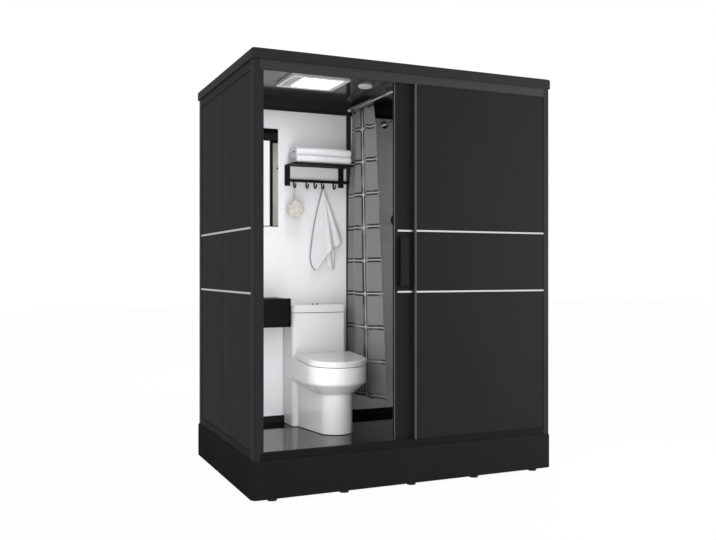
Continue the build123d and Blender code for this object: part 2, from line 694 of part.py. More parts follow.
# Toilet pan and cistern
TANK_Y = ROOM_Y - TANK_WALL_GAP - TANK_D / 2
PAN_FRONT = ROOM_Y - PAN_REACH
PAN_BACK = ROOM_Y - PAN_WALL_GAP
PEDESTAL_FRONT = PAN_FRONT + PEDESTAL_SET
RIM_PLANE = Plane(origin=(TOILET_X, PAN_FRONT, RIM_FRONT_Z), x_dir=(1, 0, 0),
                  z_dir=(0, -math.sin(math.radians(RIM_TILT)), math.cos(math.radians(RIM_TILT))))


def d_shape(x, half, front, back, nose):
    """Outline with an elliptic front and straight sides that end square at the back."""
    with Locations((x, (front + nose + back) / 2)):
        Rectangle(2 * half, back - front - nose)
    with Locations((x, front + nose)):
        Ellipse(half, nose)


with BuildPart() as toilet_body:
    with BuildSketch(Plane.XY.offset(PEDESTAL_Z1)):
        d_shape(TOILET_X, PAN_HALF - PAN_UNDER, PAN_FRONT + PAN_UNDER, PAN_BACK, PAN_NOSE - PAN_UNDER / 2)
    with BuildSketch(Plane.XY.offset(PAN_Z0)):
        d_shape(TOILET_X, PAN_HALF, PAN_FRONT, PAN_BACK, PAN_NOSE)
    loft(ruled=True)
    with BuildSketch(Plane.XY.offset(PAN_Z0)):
        d_shape(TOILET_X, PAN_HALF, PAN_FRONT, PAN_BACK, PAN_NOSE)
    extrude(amount=TANK_Z1 - PAN_Z0)
    belly = toilet_body.edges().filter_by_position(Axis.Z, PAN_Z0 - SEAT_CLEAR, PAN_Z0 + SEAT_CLEAR)
    fillet(belly.sort_by(Axis.Y)[:-1], PAN_ROUND)
    with BuildSketch(Plane.XY.offset(FLOOR_TOP)):
        with Locations((TOILET_X, PEDESTAL_FRONT + PEDESTAL_NOSE)):
            Circle(PEDESTAL_NOSE)
        with Locations((TOILET_X, PAN_BACK - PEDESTAL_TAIL / 2)):
            Rectangle(2 * PEDESTAL_HALF, PEDESTAL_TAIL)
        make_hull()
    extrude(amount=PAN_Z0 - FLOOR_TOP)
    with BuildSketch(RIM_PLANE):
        Rectangle(3 * PAN_HALF, 2 * PAN_REACH)
    extrude(amount=TANK_Z1 - PAN_Z0, mode=Mode.SUBTRACT)
    with BuildSketch(RIM_PLANE):
        with Locations((0, BOWL_MID)):
            Ellipse(BOWL_RX, BOWL_RY)
    with BuildSketch(Plane.XY.offset(BOWL_LOW_Z)):
        with Locations((TOILET_X, PAN_FRONT + BOWL_LOW_SET)):
            Circle(BOWL_LOW_R)
    loft(mode=Mode.SUBTRACT)
    with BuildSketch(Plane.XY.offset(FLOOR_TOP)):
        with Locations((TOILET_X, TANK_Y)):
            RectangleRounded(TANK_W, TANK_D, TANK_ROUND)
    extrude(amount=TANK_Z1 - TANK_LID_GAP - FLOOR_TOP)
    with BuildSketch(Plane.XY.offset(TANK_Z1)):
        with Locations((TOILET_X, TANK_Y)):
            RectangleRounded(TANK_W - 2 * TANK_NECK_IN, TANK_D - 2 * TANK_NECK_IN, TANK_ROUND)
    extrude(amount=-2 * TANK_LID_GAP)
write(toilet_body, "toilet_body")

TANK_TOP = TANK_Z1 + TANK_LID_H
with BuildPart() as tank_lid:
    with BuildSketch(Plane.XY.offset(TANK_Z1)):
        with Locations((TOILET_X, TANK_Y)):
            RectangleRounded(TANK_W + 2 * TANK_LID_OVER, TANK_D + 2 * TANK_LID_OVER,
                             TANK_ROUND + TANK_LID_OVER)
    extrude(amount=TANK_LID_H)
    fillet(tank_lid.faces().sort_by(Axis.Z)[-1].edges(), TANK_LID_ROUND)
    with BuildSketch(Plane.XY.offset(TANK_TOP)):
        with Locations((TOILET_X, TANK_Y)):
            Circle(BUTTON_R + BUTTON_CLEAR)
    extrude(amount=-(BUTTON_DEEP + BUTTON_TRAVEL + BUTTON_UNDER), mode=Mode.SUBTRACT)
write(tank_lid, "tank_lid")
with BuildPart() as flush_button:
    with BuildSketch(Plane.XY.offset(TANK_TOP - BUTTON_DEEP)):
        with Locations((TOILET_X, TANK_Y)):
            Circle(BUTTON_R)
    extrude(amount=BUTTON_DEEP + BUTTON_UP)
    fillet(flush_button.faces().sort_by(Axis.Z)[-1].edges(), BUTTON_ROUND)
write(flush_button, "flush_button")


HINGE_AT = RIM_PLANE.from_local_coords((0, HINGE_Y, HINGE_H))
HINGE_PLANE = Plane(origin=HINGE_AT, x_dir=(0, 1, 0), z_dir=(1, 0, 0))


def hinge_rod(radius, span, mode=Mode.ADD):
    """Round bar on the hinge axis between two distances to the right of the middle."""
    with BuildSketch(HINGE_PLANE.offset(span[0])) as rod:
        Circle(radius)
    extrude(rod.sketch, amount=span[1] - span[0], mode=mode)


def lugs(span, front, heights):
    """Hinge lugs at both sides: a block as far as the axis and a barrel round it."""
    for side in (-1, 1):
        with BuildSketch(RIM_PLANE.offset(heights[0])) as lug:
            with Locations((side * (span[0] + span[1]) / 2, (front + HINGE_Y) / 2)):
                Rectangle(span[1] - span[0], HINGE_Y - front)
        extrude(lug.sketch, amount=heights[1] - heights[0])
        hinge_rod(LUG_R, sorted(side * x for x in span))


with BuildPart() as toilet_seat:
    with BuildSketch(RIM_PLANE.offset(SEAT_GAP)):
        d_shape(0, PAN_HALF - SEAT_INSET, SEAT_INSET, SEAT_BACK, PAN_NOSE)
        with Locations((0, BOWL_MID)):
            Ellipse(BOWL_RX - SEAT_BOWL_OVER, BOWL_RY - SEAT_BOWL_OVER, mode=Mode.SUBTRACT)
    extrude(amount=SEAT_T)
    lugs(SEAT_LUG, SEAT_BACK - LUG_GAP, (SEAT_GAP, SEAT_GAP + SEAT_T + LUG_OVER))
    hinge_rod(HINGE_R + HINGE_CLEAR, (-PAN_HALF, PAN_HALF), mode=Mode.SUBTRACT)
write(toilet_seat, "toilet_seat")

with BuildPart() as toilet_lid:
    with BuildSketch(RIM_PLANE.offset(LID_GAP)):
        d_shape(0, PAN_HALF, 0, LID_BACK, PAN_NOSE)
    extrude(amount=LID_TOP - LID_GAP)
    fillet(toilet_lid.faces().sort_by(Axis.Z)[-1].edges(), LID_ROUND)
    with BuildSketch(RIM_PLANE.offset(LID_GAP)):
        d_shape(0, PAN_HALF - LID_SKIRT, LID_SKIRT, LID_BACK + LID_SKIRT, PAN_NOSE)
    extrude(amount=LID_POCKET - LID_GAP, mode=Mode.SUBTRACT)
    lugs(LID_LUG, SEAT_BACK + LUG_GAP, (SEAT_GAP, LID_POCKET))
    hinge_rod(HINGE_R + HINGE_CLEAR, (2 * LID_SKIRT - PAN_HALF, PAN_HALF - 2 * LID_SKIRT),
              mode=Mode.SUBTRACT)
write(toilet_lid, "toilet_lid")

with BuildPart() as toilet_hinge:
    hinge_rod(HINGE_R, (-LID_LUG[1], LID_LUG[1]))
    for side in (-1, 1):
        hinge_rod(BARREL_R, (side * POST_AT - BARREL_L / 2, side * POST_AT + BARREL_L / 2))
        with BuildSketch(RIM_PLANE):
            with Locations((side * POST_AT, HINGE_Y)):
                Rectangle(BARREL_L, 2 * BARREL_R)
        extrude(amount=HINGE_H)
write(toilet_hinge, "toilet_hinge")

# Wash basin with a tapered bowl, its waste and its tap
BASIN_X = (LEFT + BASIN_AT, LEFT + BASIN_AT + BASIN_W)
BASIN_MID = (BASIN_X[0] + BASIN_X[1]) / 2
BASIN_FRONT = ROOM_Y - BASIN_D
BOWL_D = BASIN_D - BASIN_RIM - BASIN_DECK
BOWL_Y = BASIN_FRONT + BASIN_RIM + BOWL_D / 2
with BuildPart() as wash_basin:
    block(BASIN_X, (BASIN_FRONT, ROOM_Y), BASIN_Z)
    fillet(wash_basin.edges().filter_by(Axis.Z).group_by(Axis.Y)[0], BASIN_ROUND)
    fillet(wash_basin.faces().sort_by(Axis.Z)[-1].edges().sort_by(Axis.Y)[:-1], BASIN_EDGE)
    with BuildSketch(Plane.XY.offset(BASIN_Z[1])):
        with Locations((BASIN_MID, BOWL_Y)):
            RectangleRounded(BASIN_W - 2 * BASIN_RIM, BOWL_D, BASIN_ROUND)
    extrude(amount=-BASIN_DEPTH, taper=BASIN_TAPER, mode=Mode.SUBTRACT)
    with Locations((BASIN_MID, BOWL_Y, BASIN_Z[1])):
        Hole(WASTE_R)
write(wash_basin, "wash_basin")

PIPE_R = WASTE_R - PIPE_WALL
BASIN_FLOOR = BASIN_Z[1] - BASIN_DEPTH
with BuildPart() as basin_waste:
    with Locations((BASIN_MID, BOWL_Y, TRAP_Z[1])):
        Cylinder(WASTE_R - SEAT_CLEAR, BASIN_FLOOR - TRAP_Z[1],
                 align=(Align.CENTER, Align.CENTER, Align.MIN))
    with Locations((BASIN_MID, BOWL_Y, BASIN_FLOOR)):
        Cylinder(WASTE_R + WASTE_RIM, WASTE_RIM_T, align=(Align.CENTER, Align.CENTER, Align.MIN))
    with Locations((BASIN_MID, BOWL_Y, TRAP_Z[0])):
        Cylinder(TRAP_R, TRAP_Z[1] - TRAP_Z[0], align=(Align.CENTER, Align.CENTER, Align.MIN))
    fillet(basin_waste.edges().filter_by(GeomType.CIRCLE).group_by(Axis.Z)[0], TRAP_ROUND)
    with BuildSketch(Plane.XZ.offset(-ROOM_Y)):
        with Locations((BASIN_MID, (TRAP_Z[0] + TRAP_Z[1]) / 2)):
            Circle(PIPE_R)
    extrude(amount=ROOM_Y - BOWL_Y)
write(basin_waste, "basin_waste")

TAP_Y = ROOM_Y - BASIN_DECK / 2
SPOUT_Z = BASIN_Z[1] + SPOUT_UP
with BuildPart() as basin_tap:
    with Locations((BASIN_MID, TAP_Y, BASIN_Z[1])):
        Cylinder(TAP_R, TAP_H, align=(Align.CENTER, Align.CENTER, Align.MIN))
    with BuildLine() as spout_path:
        spout_run = Line((BASIN_MID, TAP_Y, SPOUT_Z), (BASIN_MID, TAP_Y - SPOUT_REACH, SPOUT_Z))
        bend(BASIN_MID, TAP_Y - SPOUT_REACH, SPOUT_Z - 2 * SPOUT_R, 2 * SPOUT_R, (90, 165))
    with BuildSketch(Plane(spout_run @ 0, z_dir=spout_run % 0)):
        Circle(SPOUT_R)
    sweep(path=spout_path.wires()[0])
write(basin_tap, "basin_tap")
TAP_TOP = BASIN_Z[1] + TAP_H
with BuildPart() as tap_lever:
    with Locations((BASIN_MID, TAP_Y, TAP_TOP)):
        Cylinder(TAP_R, LEVER_H, align=(Align.CENTER, Align.CENTER, Align.MIN))
    with BuildSketch(Plane.XY.offset(TAP_TOP + (LEVER_H - LEVER_T) / 2)):
        with Locations((BASIN_MID, TAP_Y - LEVER_L / 2)):
            SlotOverall(LEVER_L, LEVER_W, rotation=90)
    extrude(amount=LEVER_T)
write(tap_lever, "tap_lever")

# Frameless mirror with a bevelled edge
MIRROR_TOP = CEILING_Z - MIRROR_DROP
with BuildPart() as mirror:
    block((LEFT + MIRROR_AT, LEFT + MIRROR_AT + MIRROR_W), (ROOM_Y - MIRROR_T, ROOM_Y),
          (MIRROR_TOP - MIRROR_H, MIRROR_TOP))
    chamfer(mirror.faces().sort_by(Axis.Y)[0].edges(), MIRROR_BEVEL, MIRROR_BEVEL / 2)
write(mirror, "mirror")

# Towel rack: wall plates, arms, front bar and shelf bars in one welding
PLATES = ((RACK_X[0], RACK_X[0] + PLATE_W), (RACK_X[1] - PLATE_W, RACK_X[1]))
ARM_ZS = (RACK_Z[1] - RACK_BAR, RACK_Z[1])
PLATE_FACE = ROOM_Y - PLATE_T
with BuildPart() as towel_rack:
    for plate in PLATES:
        block(plate, (PLATE_FACE, ROOM_Y), RACK_Z)
        arm_x = (plate[0] + plate[1]) / 2
        block((arm_x - RACK_BAR / 2, arm_x + RACK_BAR / 2), (RACK_FRONT, PLATE_FACE), ARM_ZS)
    for i in range(SHELF_BARS + 1):
        bar_y = RACK_FRONT + i * (PLATE_FACE - RACK_FRONT) / (SHELF_BARS + 1)
        block((RACK_X[0], RACK_X[1]), (bar_y, bar_y + RACK_BAR), ARM_ZS)
write(towel_rack, "towel_rack")

# Hook rail on the plates, with bent wire hooks
HOOK_Y = PLATE_FACE - HOOK_RAIL_T / 2
with BuildPart() as hook_rail:
    block((RACK_X[0], RACK_X[1] + HOOK_RAIL_OUT), (PLATE_FACE - HOOK_RAIL_T, PLATE_FACE),
          (HOOK_RAIL_Z - HOOK_RAIL_H / 2, HOOK_RAIL_Z + HOOK_RAIL_H / 2))
    for x in HOOK_X:
        with BuildLine() as hook_path:
            stem = Line((x, HOOK_Y, HOOK_RAIL_Z), (x, HOOK_Y, HOOK_RAIL_Z - HOOK_DROP))
            curl = bend(x, HOOK_Y - HOOK_BEND, HOOK_RAIL_Z - HOOK_DROP, HOOK_BEND, (0, -170))
            Line(curl @ 1, curl @ 1 + (curl % 1) * HOOK_TIP)
        with BuildSketch(Plane(stem @ 0, z_dir=stem % 0)):
            Circle(HOOK_R)
        sweep(path=hook_path.wires()[0])
write(hook_rail, "hook_rail")
HOOK_LOW = HOOK_RAIL_Z - HOOK_DROP - HOOK_BEND
HANG_Y = HOOK_Y - HOOK_BEND

# Two folded towels stacked on the shelf
FOLDED_X = (RACK_X[0] + RACK_X[1]) / 2 + FOLDED_SHIFT
with BuildPart() as folded_towels:
    for i in range(2):
        with BuildSketch(Plane.YZ.offset(FOLDED_X - FOLDED_W / 2)):
            with Locations((RACK_FRONT + FOLDED_D / 2, RACK_Z[1] + SEAT_CLEAR + (i + 0.5) * FOLDED_H)):
                RectangleRounded(FOLDED_D, FOLDED_H - SEAT_CLEAR, FOLDED_ROUND)
        extrude(amount=FOLDED_W)
write(folded_towels, "folded_towels")

# Towel hung from the fourth hook, flaring into folds
TOWEL_BACK = ROOM_Y - TOWEL_WALL_GAP
TOWEL_TOP = HOOK_LOW - HOOK_R - SEAT_CLEAR
with BuildPart() as hanging_towel:
    for drop, reach_left, reach_right, depth in TOWEL_STEPS:
        left, right = HOOK_X[3] - reach_left, HOOK_X[3] + reach_right
        fold = (right - left) / TOWEL_FOLDS
        crest, valley = TOWEL_BACK - depth, TOWEL_BACK - depth + FOLD_DEPTH * fold
        with BuildSketch(Plane.XY.offset(TOWEL_TOP - drop)):
            with BuildLine():
                for i in range(TOWEL_FOLDS):
                    x = left + i * fold
                    ThreePointArc((x, valley), (x + fold / 2, crest), (x + fold, valley))
                Polyline((right, valley), (right, TOWEL_BACK), (left, TOWEL_BACK), (left, valley))
            make_face()
    loft(ruled=True)
write(hanging_towel, "hanging_towel")

# Bath puff on a looped cord over the first hook
PUFF_Y = ROOM_Y - PUFF_R - PUFF_WALL_GAP
LOOP_R = HOOK_R + CORD_R + SEAT_CLEAR
hook_point = Vector(HOOK_X[0], HANG_Y, HOOK_LOW)
puff_centre = Vector(HOOK_X[0], PUFF_Y, HOOK_LOW - PUFF_DROP)
hang = (hook_point - puff_centre).normalized()
with BuildPart() as bath_puff:
    with Locations(tuple(puff_centre)):
        Sphere(PUFF_R)
write(bath_puff, "bath_puff")
cord_end = puff_centre + hang * (PUFF_R + SEAT_CLEAR)
across = Vector(LOOP_R, 0, 0)
with BuildPart() as puff_cord:
    with BuildLine() as cord_path:
        rise = Line(cord_end - across, hook_point - across)
        ThreePointArc(hook_point - across, hook_point + hang * LOOP_R, hook_point + across)
        Line(hook_point + across, cord_end + across)
    with BuildSketch(Plane(rise @ 0, z_dir=rise % 0)):
        Circle(CORD_R)
    sweep(path=cord_path.wires()[0])
write(puff_cord, "puff_cord")

# Curtain rail across the cabin with a flange at each end
with BuildPart() as curtain_rail:
    for y, length, radius in ((FRONT_IN, ROOM_Y - FRONT_IN, RAIL_R), (FRONT_IN, FLANGE_T, FLANGE_R),
                              (ROOM_Y - FLANGE_T, FLANGE_T, FLANGE_R)):
        with BuildSketch(Plane.XZ.offset(-y)):
            with Locations((RAIL_X, RAIL_Z)):
                Circle(radius)
        extrude(amount=-length)
write(curtain_rail, "curtain_rail")

RING_Z = RAIL_Z + RAIL_R + SEAT_CLEAR - (RING_R - RING_T)
CURTAIN_TOP_Y = [ROOM_Y - y for y in CURTAIN_TOP_SET]
CURTAIN_LOW_Y = [ROOM_Y - y for y in CURTAIN_LOW_SET]
RING_PITCH = (CURTAIN_TOP_Y[1] - CURTAIN_TOP_Y[0]) / RING_COUNT
with BuildPart() as curtain_rings:
    for i in range(RING_COUNT):
        with BuildSketch(Plane.XZ.offset(-(CURTAIN_TOP_Y[0] + RING_PITCH * (i + 0.5)))):
            with Locations((RAIL_X, RING_Z)):
                Circle(RING_R)
                Circle(RING_R - RING_T, mode=Mode.SUBTRACT)
        extrude(amount=RING_W / 2, both=True)
write(curtain_rings, "curtain_rings")

# Gathered curtain: alternating arcs at the top and wider ones at the hem
CURTAIN_TOP = RING_Z - RING_R - SEAT_CLEAR


def wave(span, swell, shift):
    """Points of the curtain's line seen from above: ends and crests of each fold."""
    step = (span[1] - span[0]) / CURTAIN_WAVES
    for i in range(CURTAIN_WAVES):
        y = span[0] + i * step
        crest = RAIL_X + shift + swell * (-1) ** i
        yield (RAIL_X + shift, y), (crest, y + step / 2), (RAIL_X + shift, y + step)


with BuildPart() as shower_curtain:
    for z, span, swell in ((CURTAIN_Z0, CURTAIN_LOW_Y, CURTAIN_LOW_A),
                           (CURTAIN_TOP, CURTAIN_TOP_Y, CURTAIN_TOP_A)):
        with BuildSketch(Plane.XY.offset(z)):
            with BuildLine():
                for side in (-1, 1):
                    for points in wave(span, swell, side * CURTAIN_T / 2):
                        ThreePointArc(*points)
                for y in span:
                    Line((RAIL_X - CURTAIN_T / 2, y), (RAIL_X + CURTAIN_T / 2, y))
            make_face()
    loft(ruled=True)
write(shower_curtain, "shower_curtain")

# Shower arm out of the rear wall, with a ball under its bend
BEND_Y = ROOM_Y - ARM_REACH
BALL_Z = ARM_Z - ARM_BEND - ARM_DROP
BALL_Y = BEND_Y - ARM_BEND
with BuildPart() as shower_arm:
    with BuildLine() as arm_path:
        arm_run = Line((ARM_X, ROOM_Y, ARM_Z), (ARM_X, BEND_Y, ARM_Z))
        elbow = bend(ARM_X, BEND_Y, ARM_Z - ARM_BEND, ARM_BEND, (90, 180))
        Line(elbow @ 1, (ARM_X, BALL_Y, BALL_Z + BALL_R))
    with BuildSketch(Plane(arm_run @ 0, z_dir=arm_run % 0)):
        Circle(ARM_R)
    sweep(path=arm_path.wires()[0])
    with BuildSketch(Plane.XZ.offset(-ROOM_Y)):
        with Locations((ARM_X, ARM_Z)):
            Circle(ARM_FLANGE_R)
    extrude(amount=FLANGE_T)
    with BuildSketch(Plane.XY.offset(BALL_Z)):
        with Locations((ARM_X, BALL_Y)):
            Circle(NECK_R)
    extrude(amount=2 * BALL_R)
    with Locations((ARM_X, BALL_Y, BALL_Z)):
        Sphere(BALL_R)
write(shower_arm, "shower_arm")

# Rain head hung on the ball
SOCKET_R = BALL_R + BALL_CLEAR
HEAD_TOP = BALL_Z - HEAD_DROP
with BuildPart() as rain_head:
    with BuildSketch(Plane.XZ.offset(-BALL_Y)):
        outline([(ARM_X, HEAD_TOP - HEAD_T), (ARM_X + HEAD_R, HEAD_TOP - HEAD_T),
                 (ARM_X + HEAD_R, HEAD_TOP - HEAD_T + HEAD_RIM_H), (ARM_X + HEAD_FLAT_R, HEAD_TOP),
                 (ARM_X + HUB_R, HEAD_TOP), (ARM_X + HUB_R, BALL_Z + HUB_UP), (ARM_X, BALL_Z + HUB_UP)])
    revolve(axis=Axis((ARM_X, BALL_Y, 0), (0, 0, 1)))
    with Locations((ARM_X, BALL_Y, BALL_Z)):
        Sphere(SOCKET_R, mode=Mode.SUBTRACT)
write(rain_head, "rain_head")

# Mixer on the rear wall with a turning lever
MIXER_FACE = ROOM_Y - MIXER_PLATE_T - MIXER_BODY_L
with BuildPart() as mixer_body:
    for depth, radius in ((MIXER_PLATE_T, MIXER_R), (MIXER_PLATE_T + MIXER_BODY_L, MIXER_BODY_R)):
        with BuildSketch(Plane.XZ.offset(-ROOM_Y)):
            with Locations((MIXER_X, MIXER_Z)):
                Circle(radius)
        extrude(amount=depth)
write(mixer_body, "mixer_body")
with BuildPart() as mixer_lever:
    with BuildSketch(Plane.XZ.offset(-MIXER_FACE)):
        with Locations((MIXER_X, MIXER_Z)):
            Circle(MIXER_BODY_R)
    extrude(amount=MIXER_KNOB_L)
    with BuildSketch(Plane.XZ.offset(-MIXER_FACE + (MIXER_KNOB_L - MIXER_LEVER_T) / 2)):
        with Locations((MIXER_X, MIXER_Z - MIXER_LEVER_L / 2)):
            SlotOverall(MIXER_LEVER_L, MIXER_LEVER_W, rotation=90)
    extrude(amount=MIXER_LEVER_T)
write(mixer_lever, "mixer_lever")

# Square light and vent unit under the ceiling
UNIT_X = (LEFT + UNIT_AT, LEFT + UNIT_AT + UNIT_W)
UNIT_MID = ((UNIT_X[0] + UNIT_X[1]) / 2, (UNIT_Y[0] + UNIT_Y[1]) / 2)
WINDOW_MID = (UNIT_MID[0] + UNIT_SHIFT, UNIT_MID[1])
SLOT_MID = ((UNIT_X[0] + WINDOW_MID[0] - UNIT_WINDOW / 2) / 2, UNIT_MID[1])
with BuildPart() as ceiling_unit:
    with BuildSketch(Plane.XY.offset(CEILING_Z)):
        with Locations(UNIT_MID):
            RectangleRounded(UNIT_X[1] - UNIT_X[0], UNIT_Y[1] - UNIT_Y[0], UNIT_H)
        with Locations(WINDOW_MID):
            Rectangle(UNIT_WINDOW, UNIT_WINDOW, mode=Mode.SUBTRACT)
        with Locations(SLOT_MID):
            with GridLocations(UNIT_SLOT_PITCH, 0, UNIT_SLOTS, 1):
                SlotOverall(UNIT_WINDOW, UNIT_SLOT_W, rotation=90, mode=Mode.SUBTRACT)
    extrude(amount=-UNIT_H)
write(ceiling_unit, "ceiling_unit")
with BuildPart() as ceiling_diffuser:
    with BuildSketch(Plane.XY.offset(CEILING_Z)):
        with Locations(WINDOW_MID):
            Rectangle(UNIT_WINDOW, UNIT_WINDOW)
    extrude(amount=-(UNIT_H - DIFFUSER_SET))
write(ceiling_diffuser, "ceiling_diffuser")
with BuildPart() as downlight:
    with Locations((LEFT + LIGHT_AT, LIGHT_Y, CEILING_Z)):
        Cone(LIGHT_FACE_R, LIGHT_R, LIGHT_H, align=(Align.CENTER, Align.CENTER, Align.MAX))
write(downlight, "downlight")
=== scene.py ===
import math
import random

import bpy
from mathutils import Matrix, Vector, noise


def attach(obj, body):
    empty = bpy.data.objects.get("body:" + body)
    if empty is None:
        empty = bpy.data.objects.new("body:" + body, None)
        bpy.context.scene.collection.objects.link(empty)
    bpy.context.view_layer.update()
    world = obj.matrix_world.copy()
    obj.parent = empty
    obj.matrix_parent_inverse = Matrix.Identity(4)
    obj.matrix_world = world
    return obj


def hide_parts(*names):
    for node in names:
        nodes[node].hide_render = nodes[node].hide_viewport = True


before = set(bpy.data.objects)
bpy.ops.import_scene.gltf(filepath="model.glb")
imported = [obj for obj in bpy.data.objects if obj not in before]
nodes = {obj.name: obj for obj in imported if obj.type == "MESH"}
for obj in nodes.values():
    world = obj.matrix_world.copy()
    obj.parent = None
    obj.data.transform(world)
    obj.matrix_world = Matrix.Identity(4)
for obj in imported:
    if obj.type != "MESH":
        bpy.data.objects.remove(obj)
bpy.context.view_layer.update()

scene = bpy.context.scene
scene.view_settings.view_transform = "Standard"

# The photograph's camera, in metres, degrees and pixels
CAMERA_AT = (-2.0301, -4.4501, 1.1242)
CAMERA_YAW = 23.833
CAMERA_NEAR = 0.05
FOCAL_PX = 835.8
IMAGE_W = 716.0
SENSOR_MM = 36.0

# Studio: level of the light from all round, and the ground's size, tone and share of pure white
WORLD_LEVEL = 0.62
FLOOR_SIZE = 40.0
FLOOR_GREY = 0.9
FLOOR_WHITE = 0.955

# Silver strips: their levels, half height of the bright band on the front and on the sides, the soft edge of
# the painted shade beside it, and the colour of the painted shade on their edges
STRIP_LEVELS = (1.010, 1.330)
FRONT_BRIGHT_HALF, SIDE_BRIGHT_HALF, EDGE_SHADE_BLUR = 0.0041, 0.0042, 0.0006
STRIP_EDGE_SHADE = (0.04, 0.04, 0.04)

# Painted shade in a dark line where the toilet stands on the floor
FLOOR_Z = 0.175
FOOT_SHADE_H = 0.005
FOOT_SHADE = (0.03, 0.03, 0.03)

# Inner side of the front's panels
BEIGE, BEIGE_ROUGH = (0.80, 0.77, 0.71), 0.4

# Curtain: rail, top and hem levels, spread along the rail as (front, rear), fold depths as (top, hem)
RAIL_X, CURTAIN_TOP, CURTAIN_LOW = 0.108, 2.1365, 0.340
CURTAIN_TOP_Y, CURTAIN_LOW_Y = (0.167, 0.489), (0.037, 0.506)
CURTAIN_FOLD, CURTAIN_SWAY = (0.016, 0.022), (0.003, 0.006)
CURTAIN_WAVES, RINGS = 5, 8
CURTAIN_FALL = 1.15
CURTAIN_UNEVEN, RING_DIP, HEM_WAVE = 0.004, 0.010, 0.004
CURTAIN_FLAT, CURTAIN_T, CURTAIN_GRID = (0.52, 1.80), 0.0016, (160, 70)
# Share down the cloth with the sideways push there, of its front edge and of its rear edge
CURTAIN_TURN = ((0.0, 0.006), (0.08, 0.020), (1.0, 0.034))
CURTAIN_SWING = ((0.0, 0.0), (0.06, 0.0), (0.20, 0.010), (0.30, 0.025), (1.0, 0.031))

# Curtain's print: cell size and offset in metres, then in shares of a cell
PRINT_CELL = (0.272, 0.207)
PRINT_MOVED = (-0.014, -0.018, 0)
PRINT_EDGE = (0.484, 0.482)
PRINT_CORNER, PRINT_CORNER_W = 0.075, 0.85
PRINT_LINE, PRINT_LINE_SOFT = 0.026, 0.010
PRINT_GAP = (-0.002, 0.006)

# Folded towels on the shelf
SHELF_Z, SHELF_FRONT = 1.7833, 0.357
FOLDED_X = (-0.318, 0.052)
FOLDED_D, FOLDED_H, TERRY = 0.146, 0.0465, 0.0085
FOLD_GAP, FOLD_INNER_SET, FOLD_TAIL_SET, FOLD_END_SET = 0.0012, 0.006, 0.004, 0.004
FOLD_SOFT, FOLD_UNEVEN = 0.0012, 0.002
FOLDED_COLS, RUN_STEPS = 34, 10
FOLDED_LEVELS = (0.0005, 0.0472)

# Hanging towel below its hook: share along the cloth, then sideways and down from the hook
HOOK_TOWEL = Vector((-0.091, 0.493, 1.6352))
HOOK_GRIP, HOOK_DROP = 0.006, 0.004
TOWEL_BACK, TOWEL_BACK_OFF, TOWEL_FRONT_OFF, TOWEL_CLEAR = 0.517, 0.014, 0.034, 0.004
TOWEL_FOLD, TOWEL_CORNER = 0.42, 0.90
TOWEL_BACK_HEM = ((0.0, (0.018, 0.466)), (0.35, (0.051, 0.490)), (0.6, (0.086, 0.507)),
                  (0.75, (0.079, 0.425)), (0.88, (0.074, 0.350)), (1.0, (0.130, 0.328)))
TOWEL_FRONT_HEM = ((0.0, (0.130, 0.328)), (0.42, (0.043, 0.382)), (0.82, (-0.055, 0.512)),
                   (0.92, (-0.082, 0.474)), (1.0, (-0.090, 0.427)))
TOWEL_BULGE, TOWEL_CREASE, TOWEL_PLEAT, TOWEL_UNEVEN = 0.010, 0.011, 0.006, 0.003
TOWEL_BOW_LEFT, TOWEL_BOW_RIGHT = 0.50, 0.10
TOWEL_FLAT, TOWEL_T, TOWEL_GRID = (0.23, 0.46), 0.004, (100, 70)
HEM_SIDE_R, HEM_LOW_R = 0.0042, 0.0026

# Bath puff and its cord
PUFF_HOOK = Vector((-0.280, 0.493, 1.640))
PUFF_AT = Vector((-0.285, 0.468, 1.507))
PUFF_R, PUFF_NET_T = 0.0575, 0.0005
PUFF_LOOPS, LOOP_POINTS = 44, 84
PUFF_FRILL = ((0.62, 0.02), (0.84, 0.07), (0.985, 0.14))
PUFF_CORE, CORE_RINGS, CORE_SPOKES = 0.82, 12, 24
CORD_D, CORD_LOOP = 0.0024, 0.0062

# Trim of the scene alone: the door's bright edge, and a dark band of painted shade in the gap below the tank
# lid
TRIM_W, TRIM_PROUD, TRIM_IN = 0.0025, 0.0008, 0.003
GAP_SHADE_INSET, GAP_SHADE_ROUND, GAP_SHADE_STEPS = 0.0058, 0.0232, 8
GAP_SHADE_BELOW = (0.0037, 0.0003)


def make_camera():
    """Camera at the photograph's viewing point, level, turned to the right."""
    data = bpy.data.cameras.new("camera")
    data.sensor_fit = "HORIZONTAL"
    data.sensor_width = SENSOR_MM
    data.lens = SENSOR_MM * FOCAL_PX / IMAGE_W
    data.clip_start = CAMERA_NEAR
    camera = bpy.data.objects.new("camera", data)
    camera.location = CAMERA_AT
    camera.rotation_euler = (math.radians(90), 0, math.radians(-CAMERA_YAW))
    scene.collection.objects.link(camera)
    scene.camera = camera


def calculated(tree, operation, first, second=None):
    """Result of a calculation on a socket and, where it needs one, a second socket or number."""
    node = tree.nodes.new("ShaderNodeMath")
    node.operation = operation
    tree.links.new(first, node.inputs[0])
    if hasattr(second, "links"):
        tree.links.new(second, node.inputs[1])
    elif second is not None:
        node.inputs[1].default_value = second
    return node.outputs[0]


def seen_rays(tree):
    """1 for rays that show the background: camera, glossy and transmission rays."""
    path = tree.nodes.new("ShaderNodeLightPath")
    mirrored = calculated(tree, "MAXIMUM", path.outputs["Is Camera Ray"], path.outputs["Is Glossy Ray"])
    return calculated(tree, "MAXIMUM", mirrored, path.outputs["Is Transmission Ray"])


